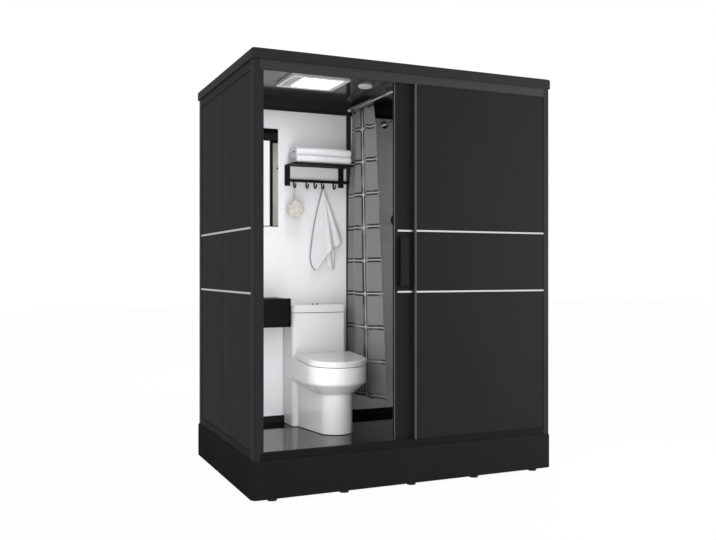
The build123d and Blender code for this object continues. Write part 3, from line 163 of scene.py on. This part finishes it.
def make_world():
    """White to the camera, a plain even light for everything else."""
    world = bpy.data.worlds.new("studio")
    world.use_nodes = True
    tree = world.node_tree
    tree.nodes.clear()
    out = tree.nodes.new("ShaderNodeOutputWorld")
    choice = tree.nodes.new("ShaderNodeMixShader")
    for slot, strength in ((1, WORLD_LEVEL), (2, 1.0)):
        sky = tree.nodes.new("ShaderNodeBackground")
        sky.inputs["Color"].default_value = (1, 1, 1, 1)
        sky.inputs["Strength"].default_value = strength
        tree.links.new(sky.outputs[0], choice.inputs[slot])
    tree.links.new(seen_rays(tree), choice.inputs[0])
    tree.links.new(choice.outputs[0], out.inputs[0])
    scene.world = world


def make_floor():
    """Pale ground that keeps a soft shadow of the cabin."""
    half = FLOOR_SIZE / 2
    corners = [(-half, -half, 0), (half, -half, 0), (half, half, 0), (-half, half, 0)]
    mesh = bpy.data.meshes.new("floor")
    mesh.from_pydata(corners, [], [(0, 1, 2, 3)])
    floor = bpy.data.objects.new("floor", mesh)
    scene.collection.objects.link(floor)
    mat = bpy.data.materials.new("floor_paper")
    mat.use_nodes = True
    tree = mat.node_tree
    tree.nodes.clear()
    out = tree.nodes.new("ShaderNodeOutputMaterial")
    choice = tree.nodes.new("ShaderNodeMixShader")
    paper = tree.nodes.new("ShaderNodeBsdfDiffuse")
    paper.inputs["Color"].default_value = (FLOOR_GREY, FLOOR_GREY, FLOOR_GREY, 1)
    glow = tree.nodes.new("ShaderNodeEmission")
    tree.links.new(calculated(tree, "MULTIPLY", seen_rays(tree), FLOOR_WHITE), choice.inputs[0])
    tree.links.new(paper.outputs[0], choice.inputs[1])
    tree.links.new(glow.outputs[0], choice.inputs[2])
    tree.links.new(choice.outputs[0], out.inputs[0])
    mesh.materials.append(mat)


def area_lamp(name, at, aim, size, watts, height=None, mirrored=True):
    """Soft lamp at a point, turned to another point: square, or of another height."""
    data = bpy.data.lights.new(name, "AREA")
    data.size = size
    if height is not None:
        data.shape = "RECTANGLE"
        data.size_y = height
    data.energy = watts
    lamp = bpy.data.objects.new(name, data)
    lamp.location = at
    lamp.rotation_euler = (Vector(aim) - Vector(at)).to_track_quat("-Z", "Y").to_euler()
    lamp.visible_glossy = mirrored
    scene.collection.objects.link(lamp)


def new_material(name):
    """Fresh material with its node tree, its principled shader and its texture coordinates."""
    mat = bpy.data.materials.new(name)
    mat.use_nodes = True
    tree = mat.node_tree
    return mat, tree, tree.nodes["Principled BSDF"], tree.nodes.new("ShaderNodeTexCoord")


def noise_value(tree, coords, scale, stretch=(1, 1, 1), detail=3.0, source="Object"):
    """Noise from 0 to 1 at a scale, stretched along the axes."""
    mapping = tree.nodes.new("ShaderNodeMapping")
    mapping.inputs["Scale"].default_value = stretch
    tree.links.new(coords.outputs[source], mapping.inputs["Vector"])
    texture = tree.nodes.new("ShaderNodeTexNoise")
    texture.inputs["Scale"].default_value = scale
    texture.inputs["Detail"].default_value = detail
    tree.links.new(mapping.outputs[0], texture.inputs["Vector"])
    return texture.outputs["Fac"]


def ranged(tree, value, low, high, source=(0.3, 0.7)):
    """Map a value from one span to another, clamped."""
    node = tree.nodes.new("ShaderNodeMapRange")
    node.inputs["From Min"].default_value = source[0]
    node.inputs["From Max"].default_value = source[1]
    node.inputs["To Min"].default_value = low
    node.inputs["To Max"].default_value = high
    tree.links.new(value, node.inputs["Value"])
    return node.outputs["Result"]


def mixed(tree, value, first, second):
    """Colour between two colours, or colour sockets, by a value."""
    node = tree.nodes.new("ShaderNodeMix")
    node.data_type = "RGBA"
    for slot, colour in ((6, first), (7, second)):
        if hasattr(colour, "links"):
            tree.links.new(colour, node.inputs[slot])
        else:
            node.inputs[slot].default_value = (*colour, 1)
    tree.links.new(value, node.inputs[0])
    return node.outputs[2]


def bumped(tree, shader, height, strength, depth):
    """Bump from a height value."""
    node = tree.nodes.new("ShaderNodeBump")
    node.inputs["Strength"].default_value = strength
    node.inputs["Distance"].default_value = depth
    tree.links.new(height, node.inputs["Height"])
    tree.links.new(node.outputs[0], shader.inputs["Normal"])


def scaled(colour, factor):
    """Colour made lighter or darker."""
    return tuple(min(1.0, c * factor) for c in colour)


def coat(name, colour, rough, metallic=0.0, vary=0.12, patch=3.0, grain=700.0, bump=0.05, depth=0.0004,
         stretch=(1, 1, 1), rough_vary=0.15, specular=0.5, clear=0.0):
    """Painted, moulded or metal finish with slight patches of tone and a fine grain."""
    mat, tree, shader, coords = new_material(name)
    patches = noise_value(tree, coords, patch, stretch)
    fine = noise_value(tree, coords, grain, stretch, detail=2.0)
    tone = mixed(tree, patches, scaled(colour, 1 - vary), scaled(colour, 1 + vary))
    tree.links.new(tone, shader.inputs["Base Color"])
    tree.links.new(ranged(tree, fine, rough * (1 - rough_vary), min(1, rough * (1 + rough_vary))),
                   shader.inputs["Roughness"])
    shader.inputs["Metallic"].default_value = metallic
    shader.inputs["Specular IOR Level"].default_value = specular
    shader.inputs["Coat Weight"].default_value = clear
    bumped(tree, shader, fine, bump, depth)
    return mat


def coordinate(mat, source, axis):
    """One coordinate of the shaded point, or of its normal."""
    tree = mat.node_tree
    split = tree.nodes.new("ShaderNodeSeparateXYZ")
    tree.links.new(tree.nodes["Texture Coordinate"].outputs[source], split.inputs[0])
    return split.outputs[axis]


def overlaid(mat, value, colour):
    """The same finish with another colour where a value is 1."""
    tree = mat.node_tree
    socket = tree.nodes["Principled BSDF"].inputs["Base Color"]
    tree.links.new(mixed(tree, value, socket.links[0].from_socket, colour), socket)
    return mat


def faced(mat, inner, rough):
    """Second colour and roughness on the faces that look into the cabin."""
    tree = mat.node_tree
    inward = ranged(tree, coordinate(mat, "Normal", "Y"), 0, 1, (0.4, 0.6))
    socket = tree.nodes["Principled BSDF"].inputs["Roughness"]
    blend = tree.nodes.new("ShaderNodeMix")
    tree.links.new(inward, blend.inputs[0])
    tree.links.new(socket.links[0].from_socket, blend.inputs[2])
    blend.inputs[3].default_value = rough
    tree.links.new(blend.outputs[0], socket)
    return overlaid(mat, inward, inner)


def foot_shaded(mat, level, height):
    """Painted shade: a dark line around a foot that stands at a level."""
    line = ranged(mat.node_tree, coordinate(mat, "Object", "Z"), 1, 0, (level + 0.7 * height, level + height))
    return overlaid(mat, line, FOOT_SHADE)


def edge_shaded(mat, half):
    """Painted shade along the upper and lower edges of the strips, leaving a bright band along their middle.
    """
    tree = mat.node_tree
    z = coordinate(mat, "Object", "Z")
    low, high = (calculated(tree, "ABSOLUTE", calculated(tree, "SUBTRACT", z, level))
                 for level in STRIP_LEVELS)
    nearest = calculated(tree, "MINIMUM", low, high)
    return overlaid(mat, ranged(tree, nearest, 0, 1, (half, half + EDGE_SHADE_BLUR)), STRIP_EDGE_SHADE)


def lamp_panel(name, colour, strength):
    """Opal panel that glows a little less towards fine dots of its texture."""
    mat, tree, shader, coords = new_material(name)
    fine = noise_value(tree, coords, 400.0)
    tree.links.new(mixed(tree, fine, scaled(colour, 0.97), colour), shader.inputs["Base Color"])
    shader.inputs["Roughness"].default_value = 0.4
    shader.inputs["Emission Color"].default_value = (*colour, 1)
    tree.links.new(ranged(tree, fine, strength * 0.97, strength), shader.inputs["Emission Strength"])
    return mat


def terry_cloth(name, colour):
    """Looped towel cloth."""
    mat, tree, shader, coords = new_material(name)
    loops = noise_value(tree, coords, 520.0, detail=2.0)
    tone = mixed(tree, noise_value(tree, coords, 28.0), scaled(colour, 0.95), colour)
    looped = mixed(tree, ranged(tree, loops, 0, 1), scaled(colour, 0.82), tone)
    tree.links.new(looped, shader.inputs["Base Color"])
    shader.inputs["Roughness"].default_value = 0.95
    shader.inputs["Sheen Weight"].default_value = 0.4
    shader.inputs["Sheen Roughness"].default_value = 0.6
    bumped(tree, shader, loops, 0.7, 0.0025)
    return mat


def netting(name, colour):
    """Soft nylon netting with a fine mesh of threads."""
    mat, tree, shader, coords = new_material(name)
    threads = noise_value(tree, coords, 850.0, detail=1.0)
    tone = mixed(tree, ranged(tree, threads, 0, 1), scaled(colour, 0.75), colour)
    tree.links.new(tone, shader.inputs["Base Color"])
    shader.inputs["Roughness"].default_value = 0.6
    shader.inputs["Sheen Weight"].default_value = 0.3
    bumped(tree, shader, threads, 0.3, 0.0006)
    return mat


def curtain_cloth():
    """Cloth printed with a grid of dark round-cornered outlines between pale lines, its tones darker than the
    light cloth as painted shade.
    """
    mat, tree, shader, coords = new_material("curtain_print")

    def vector(operation, first, second=None):
        node = tree.nodes.new("ShaderNodeVectorMath")
        node.operation = operation
        tree.links.new(first, node.inputs[0])
        if second is not None:
            node.inputs[1].default_value = second
        return node.outputs["Value" if operation == "LENGTH" else "Vector"]

    moved = vector("ADD", coords.outputs["UV"], PRINT_MOVED)
    grid = vector("MULTIPLY", moved, (1 / PRINT_CELL[0], 1 / PRINT_CELL[1], 0))
    spot = vector("ABSOLUTE", vector("SUBTRACT", vector("FRACTION", grid), (0.5, 0.5, 0)))
    round_x, round_y = PRINT_CORNER_W * PRINT_CORNER, PRINT_CORNER
    past = vector("SUBTRACT", spot, (PRINT_EDGE[0] - round_x, PRINT_EDGE[1] - round_y, 0))
    even = vector("MULTIPLY", past, (1 / PRINT_CORNER_W, 1, 0))
    edge = calculated(tree, "SUBTRACT", vector("LENGTH", vector("MAXIMUM", even, (0, 0, 0))), PRINT_CORNER)
    off_line = calculated(tree, "ABSOLUTE", calculated(tree, "ADD", edge, PRINT_LINE))
    line = ranged(tree, off_line, 1, 0, (PRINT_LINE, PRINT_LINE + PRINT_LINE_SOFT))
    # Dark outlines fade in random patches
    line_fade = ranged(tree, noise_value(tree, coords, 7.0, detail=0.0, source="UV"), 0.4, 1, (0.38, 0.48))
    gap = ranged(tree, edge, 0, 1, PRINT_GAP)
    weave = noise_value(tree, coords, 900.0, detail=2.0, source="UV")
    # Grey of the cloth: the light cloth made darker as painted shade
    panel = mixed(tree, weave, (0.170, 0.170, 0.170), (0.208, 0.208, 0.208))
    lined = mixed(tree, calculated(tree, "MULTIPLY", line, line_fade), panel, (0.018, 0.018, 0.018))
    tree.links.new(mixed(tree, gap, lined, (0.40, 0.40, 0.395)), shader.inputs["Base Color"])
    shader.inputs["Roughness"].default_value = 0.75
    shader.inputs["Sheen Weight"].default_value = 0.15
    bumped(tree, shader, weave, 0.15, 0.0004)
    return mat


def dress(mat, *names):
    """Give CAD nodes a finish."""
    for name in names:
        mesh = nodes[name].data
        mesh.materials.clear()
        mesh.materials.append(mat)


def mix(a, b, t):
    """Value between two values."""
    return a + (b - a) * t


def steps(table, t):
    """Value from a table of (position, value) pairs, straight between them."""
    for (t0, v0), (t1, v1) in zip(table, table[1:]):
        if t <= t1:
            return mix(v0, v1, (t - t0) / (t1 - t0))
    return table[-1][1]


def ripple(point, scale, seed):
    """Smooth noise at a point, from -1 to 1."""
    return noise.noise(Vector(point) * scale + Vector((seed, seed * 1.7, seed * 0.3)))


def mesh_piece(name, verts, faces, mat, smooth=True):
    """Mesh object from points and faces."""
    mesh = bpy.data.meshes.new(name)
    mesh.from_pydata([tuple(v) for v in verts], [], faces)
    mesh.polygons.foreach_set("use_smooth", [smooth] * len(mesh.polygons))
    mesh.materials.append(mat)
    piece = bpy.data.objects.new(name, mesh)
    scene.collection.objects.link(piece)
    return piece


def curve_piece(name, kind, points, radius, rounds, mat):
    """Round strand along points, as a curve of one spline."""
    curve = bpy.data.curves.new(name, "CURVE")
    curve.dimensions = "3D"
    curve.bevel_depth = radius
    curve.bevel_resolution = rounds
    spline = curve.splines.new(kind)
    spline.points.add(len(points) - 1)
    for point, at in zip(spline.points, points):
        point.co = (*at, 1)
    curve.materials.append(mat)
    piece = bpy.data.objects.new(name, curve)
    scene.collection.objects.link(piece)
    return piece


def grid_faces(cols, rows):
    """Faces of a grid of points laid out row by row."""
    return [(r * cols + c, r * cols + c + 1, (r + 1) * cols + c + 1, (r + 1) * cols + c)
            for r in range(rows - 1) for c in range(cols - 1)]


def cloth(name, place, cols, rows, thickness, mat, flat):
    """Sheet through points placed by across and down shares, with cloth coordinates in metres."""
    shares = [(c / (cols - 1), r / (rows - 1)) for r in range(rows) for c in range(cols)]
    piece = mesh_piece(name, [place(u, v) for u, v in shares], grid_faces(cols, rows), mat)
    layer = piece.data.uv_layers.new(name="cloth")
    for loop in piece.data.loops:
        u, v = shares[loop.vertex_index]
        layer.data[loop.index].uv = (u * flat[0], (1 - v) * flat[1])
    thick = piece.modifiers.new("thick", "SOLIDIFY")
    thick.thickness = thickness
    thick.offset = 0
    return piece


def curtain_point(u, v):
    """Gathered curtain: folds that widen and swell towards the hem."""
    turn = u * CURTAIN_WAVES * math.pi
    fall = v ** CURTAIN_FALL
    front, rear = (mix(CURTAIN_TOP_Y[k], CURTAIN_LOW_Y[k], fall) for k in (0, 1))
    wave = math.sin(turn + 0.25 * math.sin(2.2 * v + 4 * u))
    x = RAIL_X + mix(*CURTAIN_FOLD, fall) * wave * (0.9 + 0.2 * ripple((u * 4, v * 2, 0), 1, 3.1))
    x += CURTAIN_UNEVEN * ripple((u * 9, v * 5, 1.3), 1, 7.7) * v
    x -= steps(CURTAIN_SWING, v) * max(0.0, (u - 0.55) / 0.45) ** 1.5
    x += steps(CURTAIN_TURN, v) * max(0.0, (0.5 - u) / 0.5) ** 1.3
    y = mix(front, rear, u)
    y += mix(*CURTAIN_SWAY, fall) * math.sin(2 * turn + 0.6) * (1 - abs(2 * u - 1) ** 6)
    between_rings = 0.5 + 0.5 * math.cos(2 * math.pi * (RINGS * u - 0.5))
    z = mix(CURTAIN_TOP, CURTAIN_LOW, v)
    z += HEM_WAVE * math.sin(turn * 0.6) * v - RING_DIP * between_rings * (1 - v) ** 8
    return x, y, min(z, CURTAIN_TOP)


def fold_line():
    """Centre line of a twice folded towel, seen from the end: depth and height from its front bottom edge."""
    half, mid = TERRY / 2, FOLDED_H / 2
    out_r = mid - half
    in_r = out_r - TERRY - FOLD_GAP
    turn = (out_r - in_r) / 2
    front, back = out_r + half, FOLDED_D - half
    inner = front + FOLD_INNER_SET

    def run(start, end, height):
        return [(mix(start, end, i / RUN_STEPS), height) for i in range(RUN_STEPS + 1)]

    def bend(depth, height, reach, rise, count):
        angles = [a * math.pi / count for a in range(1, count)]
        return [(depth + reach * math.sin(a), height + rise * math.cos(a)) for a in angles]

    return (run(back, front, mid - out_r) + bend(front, mid, -out_r, -out_r, 14)
            + run(front, back - turn, mid + out_r) + bend(back - turn, mid + out_r - turn, turn, turn, 8)
            + run(back - turn, inner, mid + in_r) + bend(inner, mid, -in_r, in_r, 10)
            + run(inner, back - FOLD_TAIL_SET, mid - in_r))


def folded_towel(name, level, shift, mat):
    """One folded towel lying along the shelf."""
    line = fold_line()

    def place(u, v):
        at = v * (len(line) - 1)
        i = min(int(at), len(line) - 2)
        d, h = (mix(line[i][k], line[i + 1][k], at - i) for k in (0, 1))
        x = mix(FOLDED_X[0] + FOLD_END_SET, FOLDED_X[1] - FOLD_END_SET, u)
        middle = 0.5 - 0.5 * math.cos(2 * math.pi * min(u, 1 - u))
        lift = FOLD_SOFT * (ripple((x * 1.2, d * 2, h * 4), 7.0, shift) - (1 - middle) ** 4)
        return x, SHELF_FRONT + d + FOLD_UNEVEN * ripple((x, h, shift), 9.0, 2.2), SHELF_Z + level + h + lift

    length = sum(math.dist(a, b) for a, b in zip(line, line[1:]))
    flat = (FOLDED_X[1] - FOLDED_X[0], length)
    piece = cloth(name, place, FOLDED_COLS, len(line), TERRY, mat, flat)
    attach(piece, "root")
    return piece


def hem_point(table, t):
    """Sideways and down from the hook along a hem."""
    return tuple(steps([(at, spot[k]) for at, spot in table], t) for k in (0, 1))


def towel_point(u, v):
    """Hand towel hung at one point: a back layer, a fold to the right and a broad front flap."""
    bulge = crease = 0.0
    if u >= TOWEL_FOLD:
        share = (u - TOWEL_FOLD) / (1 - TOWEL_FOLD)
        across, drop = hem_point(TOWEL_FRONT_HEM, share)
        bulge = math.sin(math.pi * share)
        crease = math.exp(-((share - 0.40) / 0.07) ** 2) - math.exp(-((share - 0.24) / 0.08) ** 2)
    else:
        share = u / TOWEL_FOLD
        across, drop = hem_point(TOWEL_BACK_HEM, share)
    come = min(1.0, max(0.0, (u - TOWEL_FOLD + 0.05) / 0.10))
    come = come * come * (3 - 2 * come)
    pleat = math.cos(5 * math.pi * share) * (1 - come)
    bow = TOWEL_BOW_LEFT if across < 0 else TOWEL_BOW_RIGHT
    x = HOOK_TOWEL.x + across * (v + bow * v * (1 - v)) + mix(HOOK_GRIP, -HOOK_GRIP, u) * (1 - v)
    y = TOWEL_BACK - mix(TOWEL_BACK_OFF, TOWEL_FRONT_OFF, come)
    y -= v * (TOWEL_BULGE * bulge + TOWEL_CREASE * crease + TOWEL_PLEAT * pleat * v)
    y -= TOWEL_UNEVEN * ripple((u * 5, v * 4, 0), 1, 4.4)
    return x, min(y, TOWEL_BACK - TOWEL_CLEAR), HOOK_TOWEL.z - HOOK_DROP - drop * v


def puff_swell(way):
    """Share of the puff's radius in a direction, for an uneven ball."""
    return 0.97 + 0.10 * ripple(way, 1.9, 9.4) + 0.10 * ripple(way, 4.6, 3.3)


def puff_frills():
    """Points and faces of the ruffled loops around the puff."""
    random.seed(5)
    verts, faces = [], []
    rows = len(PUFF_FRILL)
    for _ in range(PUFF_LOOPS):
        axis = Vector((random.gauss(0, 1), random.gauss(0, 1), random.gauss(0, 1))).normalized()
        side = axis.orthogonal().normalized()
        other = axis.cross(side)
        lean = random.uniform(-0.75, 0.75)
        ring = math.sqrt(1 - lean * lean)
        waves, phase = random.randint(9, 13), random.uniform(0, 6.28)
        first = len(verts)
        for i in range(LOOP_POINTS):
            a = 2 * math.pi * i / LOOP_POINTS
            out = (side * math.cos(a) + other * math.sin(a)) * ring + axis * lean
            ruffle = math.sin(waves * a + phase)
            for share, swing in PUFF_FRILL:
                way = (out + axis * swing * ruffle + other * 0.03 * math.cos(waves * a)).normalized()
                reach = share + 0.012 * math.sin(3 * a + phase)
                verts.append(PUFF_AT + way * PUFF_R * puff_swell(way) * reach)
        for i in range(LOOP_POINTS):
            here, there = first + i * rows, first + (i + 1) % LOOP_POINTS * rows
            faces += [(here + k, there + k, there + k + 1, here + k + 1) for k in range(rows - 1)]
    return verts, faces


def puff_core(first):
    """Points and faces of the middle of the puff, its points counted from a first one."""
    verts, faces = [], []
    for r in range(CORE_RINGS + 1):
        for k in range(CORE_SPOKES):
            tip, a = math.pi * r / CORE_RINGS, 2 * math.pi * k / CORE_SPOKES
            way = Vector((math.sin(tip) * math.cos(a), math.sin(tip) * math.sin(a), math.cos(tip)))
            reach = PUFF_CORE + 0.07 * ripple(way, 6.0, 2.5)
            verts.append(PUFF_AT + way * PUFF_R * puff_swell(way) * reach)
    for r in range(CORE_RINGS):
        low = first + r * CORE_SPOKES
        high = low + CORE_SPOKES
        for k in range(CORE_SPOKES):
            n = (k + 1) % CORE_SPOKES
            faces.append((low + k, low + n, high + n, high + k))
    return verts, faces


def puff_ball(mat):
    """Bath puff: ruffled loops of netting packed into a ball."""
    verts, faces = puff_frills()
    core_verts, core_faces = puff_core(len(verts))
    piece = mesh_piece("puff_netting", verts + core_verts, faces + core_faces, mat)
    thick = piece.modifiers.new("thick", "SOLIDIFY")
    thick.thickness = PUFF_NET_T
    return piece


def puff_loop(mat):
    """Cord from the puff over its hook and back, with the point where it leaves the puff."""
    hang = (PUFF_HOOK - PUFF_AT).normalized()
    across = Vector((CORD_LOOP, 0, 0))
    low = PUFF_AT + hang * (PUFF_R * 0.97)
    high = PUFF_HOOK - hang * 0.004
    top = PUFF_HOOK + hang * CORD_LOOP * 1.15
    rise = [(low, 0.25), (mix(low, high, 0.3), 0.3), (mix(low, high, 0.75), 0.45), (high, 1.0), (top, 1.0)]
    line = [at - across * wide for at, wide in rise] + [at + across * wide for at, wide in reversed(rise)]
    piece = curve_piece("puff_string", "NURBS", line, CORD_D / 2, 4, mat)
    piece.data.resolution_u = 12
    spline = piece.data.splines[0]
    spline.order_u = 3
    spline.use_endpoint_u = True
    return piece, line[0]


def box_of(name):
    """Lowest and highest corner of a CAD node's box."""
    corners = [nodes[name].matrix_world @ Vector(c) for c in nodes[name].bound_box]
    return [Vector([end(c[k] for c in corners) for k in range(3)]) for end in (min, max)]


def door_trim(mat):
    """Thin bright edge on the leading stile of the door."""
    low, high = box_of("door_frame")
    x0, x1 = low.x, low.x + TRIM_W
    y0, y1 = low.y - TRIM_PROUD, low.y + TRIM_IN
    verts = [(x, y, z) for z in (low.z, high.z) for x, y in ((x0, y1), (x0, y0), (x1, y0), (x1, y1))]
    sides = [(i, (i + 1) % 4, (i + 1) % 4 + 4, i + 4) for i in range(4)]
    piece = mesh_piece("door_edge_trim", verts, sides + [(3, 2, 1, 0), (4, 5, 6, 7)], mat, smooth=False)
    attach(piece, "door")


def lid_gap_shade(mat):
    """Dark band of painted shade in the gap below the tank lid."""
    low, high = box_of("tank_lid")
    inset = GAP_SHADE_INSET + GAP_SHADE_ROUND
    x0, x1, y0, y1 = low.x + inset, high.x - inset, low.y + inset, high.y - inset
    ring = []
    for cx, cy, start in ((x1, y1, 0), (x0, y1, 90), (x0, y0, 180), (x1, y0, 270)):
        for k in range(GAP_SHADE_STEPS + 1):
            a = math.radians(start + 90 * k / GAP_SHADE_STEPS)
            ring.append((cx + GAP_SHADE_ROUND * math.cos(a), cy + GAP_SHADE_ROUND * math.sin(a)))
    verts = [(x, y, low.z - below) for below in GAP_SHADE_BELOW for x, y in ring]
    n = len(ring)
    faces = [(i, (i + 1) % n, (i + 1) % n + n, i + n) for i in range(n)]
    piece = mesh_piece("tank_lid_gap_shade", verts, faces, mat)
    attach(piece, "root")


# Stage
make_camera()
make_world()
make_floor()
area_lamp("key", (-5.6, -2.4, 3.6), (-0.2, 0, 1.2), 2.6, 87)
area_lamp("fill", (2.0, -2.0, 1.45), (0.5, -0.55, 1.35), 1.0, 40, mirrored=False)
area_lamp("back", (1.5, 5.0, 3.4), (0, 0, 1.2), 2.6, 90)
area_lamp("room", (-0.33, -0.021, 2.17), (-0.33, -0.021, 0), 0.22, 2.3, mirrored=False)
area_lamp("doorway", (-0.56, -0.49, 0.95), (-0.56, 0.5, 0.95), 0.44, 8.0, height=1.46, mirrored=False)
area_lamp("shower", (0.45, -0.1, 2.15), (0.5, 0.1, 0), 0.3, 0.12, mirrored=False)

# Finishes of the outside
frame_paint = coat("frame_paint", (0.033, 0.033, 0.035), 0.6, vary=0.08, bump=0.06, specular=0.015)
# Frame paint made darker as painted shade, for the low sill and bottom rails
frame_paint_shaded = coat("frame_paint_shaded", (0.0155, 0.0155, 0.0165), 0.6, vary=0.08, bump=0.06, specular=0.015)
# Frame paint made lighter as a painted highlight, for the header and the rear posts
frame_paint_lit = coat("frame_paint_lit", (0.053, 0.053, 0.055), 0.6, vary=0.08, bump=0.06, specular=0.015)
panel_paint = coat("panel_paint", (0.0245, 0.0255, 0.0255), 0.6, vary=0.06, bump=0.08, specular=0.01)
door_paint = coat("door_paint", (0.0205, 0.0205, 0.0215), 0.5, vary=0.08, bump=0.06, specular=0.03)
door_skin = faced(coat("door_skin", (0.0168, 0.0175, 0.0175), 0.6, vary=0.06, bump=0.08, specular=0.03),
                  BEIGE, BEIGE_ROUGH)
fixed_skin = faced(coat("fixed_skin", (0.0213, 0.0222, 0.0222), 0.6, vary=0.06, bump=0.08, specular=0.03),
                   BEIGE, BEIGE_ROUGH)
base_skin = coat("base_skin", (0.0195, 0.0195, 0.019), 0.8, vary=0.1, grain=350.0, bump=0.03, specular=0.0)
# Silver strips, with painted shade on their upper and lower edges
silver = edge_shaded(coat("silver_trim", (0.72, 0.72, 0.73), 0.32, metallic=1.0, vary=0.05,
                     stretch=(0.05, 0.05, 1), grain=900.0), FRONT_BRIGHT_HALF)
# Same silver as the front strips, its colour darkened as painted shade on the side walls
side_silver_shaded = edge_shaded(coat("side_trim_shaded", (0.40, 0.40, 0.41), 0.32, metallic=1.0, vary=0.05,
                          stretch=(0.05, 0.05, 1), grain=900.0), SIDE_BRIGHT_HALF)
edge_silver = coat("edge_silver", (0.09, 0.09, 0.092), 0.5, metallic=0.3, vary=0.08, stretch=(1, 1, 0.05),
                   grain=900.0)
trim_silver = coat("trim_silver", (0.17, 0.17, 0.17), 0.5, metallic=0.2, vary=0.06, grain=900.0)
rubber = coat("foot_rubber", (0.012, 0.012, 0.012), 0.8, vary=0.2, grain=500.0, bump=0.15)

# Finishes of the inside
tray_gloss = coat("tray_gloss", (0.005, 0.005, 0.005), 0.07, vary=0.12, grain=350.0, bump=0.01, specular=0.4)
lining = coat("white_board", (0.86, 0.865, 0.88), 0.28, vary=0.015, grain=180.0, stretch=(1, 1, 4),
              bump=0.015)
# The right wall's lining: the same white board, its colour darkened as painted shade
lining_shaded = coat("white_board_shaded", (0.66, 0.66, 0.625), 0.28, vary=0.015, grain=180.0, stretch=(1, 1, 4),
                     bump=0.015)
ceiling = coat("ceiling_gloss", (0.03, 0.032, 0.034), 0.12, vary=0.06, bump=0.01)
chrome = coat("bright_chrome", (0.78, 0.78, 0.79), 0.1, metallic=1.0, vary=0.03, bump=0.01, rough_vary=0.5)
steel = coat("zinc_plate", (0.5, 0.5, 0.5), 0.35, metallic=1.0, vary=0.08, grain=300.0)
black_metal = coat("black_metal", (0.009, 0.009, 0.009), 0.4, vary=0.15, grain=900.0, bump=0.08,
                   specular=0.18)
nylon = coat("roller_nylon", (0.6, 0.6, 0.58), 0.5, vary=0.05)
# White glaze, with a dark line of painted shade at its foot on the floor
glaze = foot_shaded(coat("white_glaze", (0.665, 0.665, 0.67), 0.07, vary=0.012, patch=8.0, bump=0.01,
                    rough_vary=0.3, clear=0.3), FLOOR_Z, FOOT_SHADE_H)
seat_white = coat("seat_white", (0.585, 0.585, 0.59), 0.14, vary=0.01, bump=0.015, rough_vary=0.3)
basin_black = coat("basin_black", (0.004, 0.004, 0.004), 0.2, vary=0.15, bump=0.02, specular=0.08)
mirror_glass = coat("mirror_silver", (0.9, 0.91, 0.9), 0.012, metallic=1.0, vary=0.01, bump=0.0,
                    rough_vary=0.6)
unit_white = coat("unit_white", (0.78, 0.78, 0.78), 0.3, vary=0.02, grain=300.0, bump=0.02)
ring_white = coat("ring_white", (0.42, 0.42, 0.42), 0.3, vary=0.04)
opal = lamp_panel("opal_panel", (0.95, 0.96, 0.97), 2.3)
terry = terry_cloth("white_terry", (0.86, 0.87, 0.89))
# White terry painted dark grey as shade, for the left hem of the hanging towel
hem_cloth_shaded = terry_cloth("hem_terry_shaded", (0.30, 0.30, 0.30))

dress(frame_paint_lit, "front_header", "rear_posts")
dress(frame_paint_shaded, "front_sill", "bottom_rails")
dress(frame_paint, "front_posts", "roof_cap", "door_jamb", "side_joint_profiles", "rear_mullion")
dress(panel_paint, "top_rails", "left_wall_panels", "right_wall_panels", "rear_wall_panels")
dress(door_paint, "door_frame")
dress(door_skin, "door_panels")
dress(fixed_skin, "fixed_front_panel")
dress(base_skin, "base_skirt")
dress(silver, "front_strips", "door_strips")
dress(side_silver_shaded, "wall_strips")
dress(edge_silver, "fixed_front_stile")
dress(rubber, "levelling_feet")
dress(tray_gloss, "base_tray")
dress(lining, "left_lining", "rear_linings")
dress(lining_shaded, "right_lining")
dress(ceiling, "ceiling_panel")
dress(chrome, "drain_grate", "curtain_rail", "shower_arm", "rain_head", "basin_tap", "tap_lever",
      "flush_button", "toilet_hinge", "basin_waste")
dress(steel, "door_hangers", "floor_joists")
dress(black_metal, "door_handle", "towel_rack", "hook_rail", "mixer_body", "mixer_lever")
dress(nylon, "door_roller_lead", "door_roller_tail")
dress(glaze, "toilet_body", "tank_lid")
dress(seat_white, "toilet_seat", "toilet_lid")
dress(basin_black, "wash_basin")
dress(mirror_glass, "mirror")
dress(unit_white, "ceiling_unit", "downlight")
dress(ring_white, "curtain_rings")
dress(opal, "ceiling_diffuser")

# Curtain
curtain = cloth("curtain_cloth", curtain_point, *CURTAIN_GRID, CURTAIN_T, curtain_cloth(), CURTAIN_FLAT)
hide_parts("shower_curtain")
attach(curtain, "curtain")

# Folded towels
lower = folded_towel("folded_towel_low", FOLDED_LEVELS[0], 1.3, terry)
folded_towel("folded_towel_top", FOLDED_LEVELS[1], 4.6, terry)
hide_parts("folded_towels")

# Hanging towel with its hems
towel = cloth("towel_cloth", towel_point, *TOWEL_GRID, TOWEL_T, terry, TOWEL_FLAT)
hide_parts("hanging_towel")
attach(towel, "root")
side_line = [towel_point(1, i / 30) for i in range(31)]
side_line += [towel_point(mix(1, TOWEL_CORNER, i / 10), 1) for i in range(1, 11)]
low_line = [towel_point(mix(TOWEL_CORNER, TOWEL_FOLD, i / 40), 1) for i in range(41)]
hem_left = curve_piece("towel_hem_left", "POLY", side_line, HEM_SIDE_R, 3, hem_cloth_shaded)
hem_low = curve_piece("towel_hem_low", "POLY", low_line, HEM_LOW_R, 3, terry)
for hem in (hem_left, hem_low):
    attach(hem, "root")

# Bath puff and its cord
puff = puff_ball(netting("puff_netting", (0.88, 0.86, 0.81)))
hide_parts("bath_puff")
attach(puff, "root")
string, string_start = puff_loop(netting("puff_string", (0.6, 0.59, 0.55)))
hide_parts("puff_cord")
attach(string, "root")
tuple(string_start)

# Door's edge trim, and painted shade below the tank lid
lid_gap_shade(rubber)
door_trim(trim_silver)
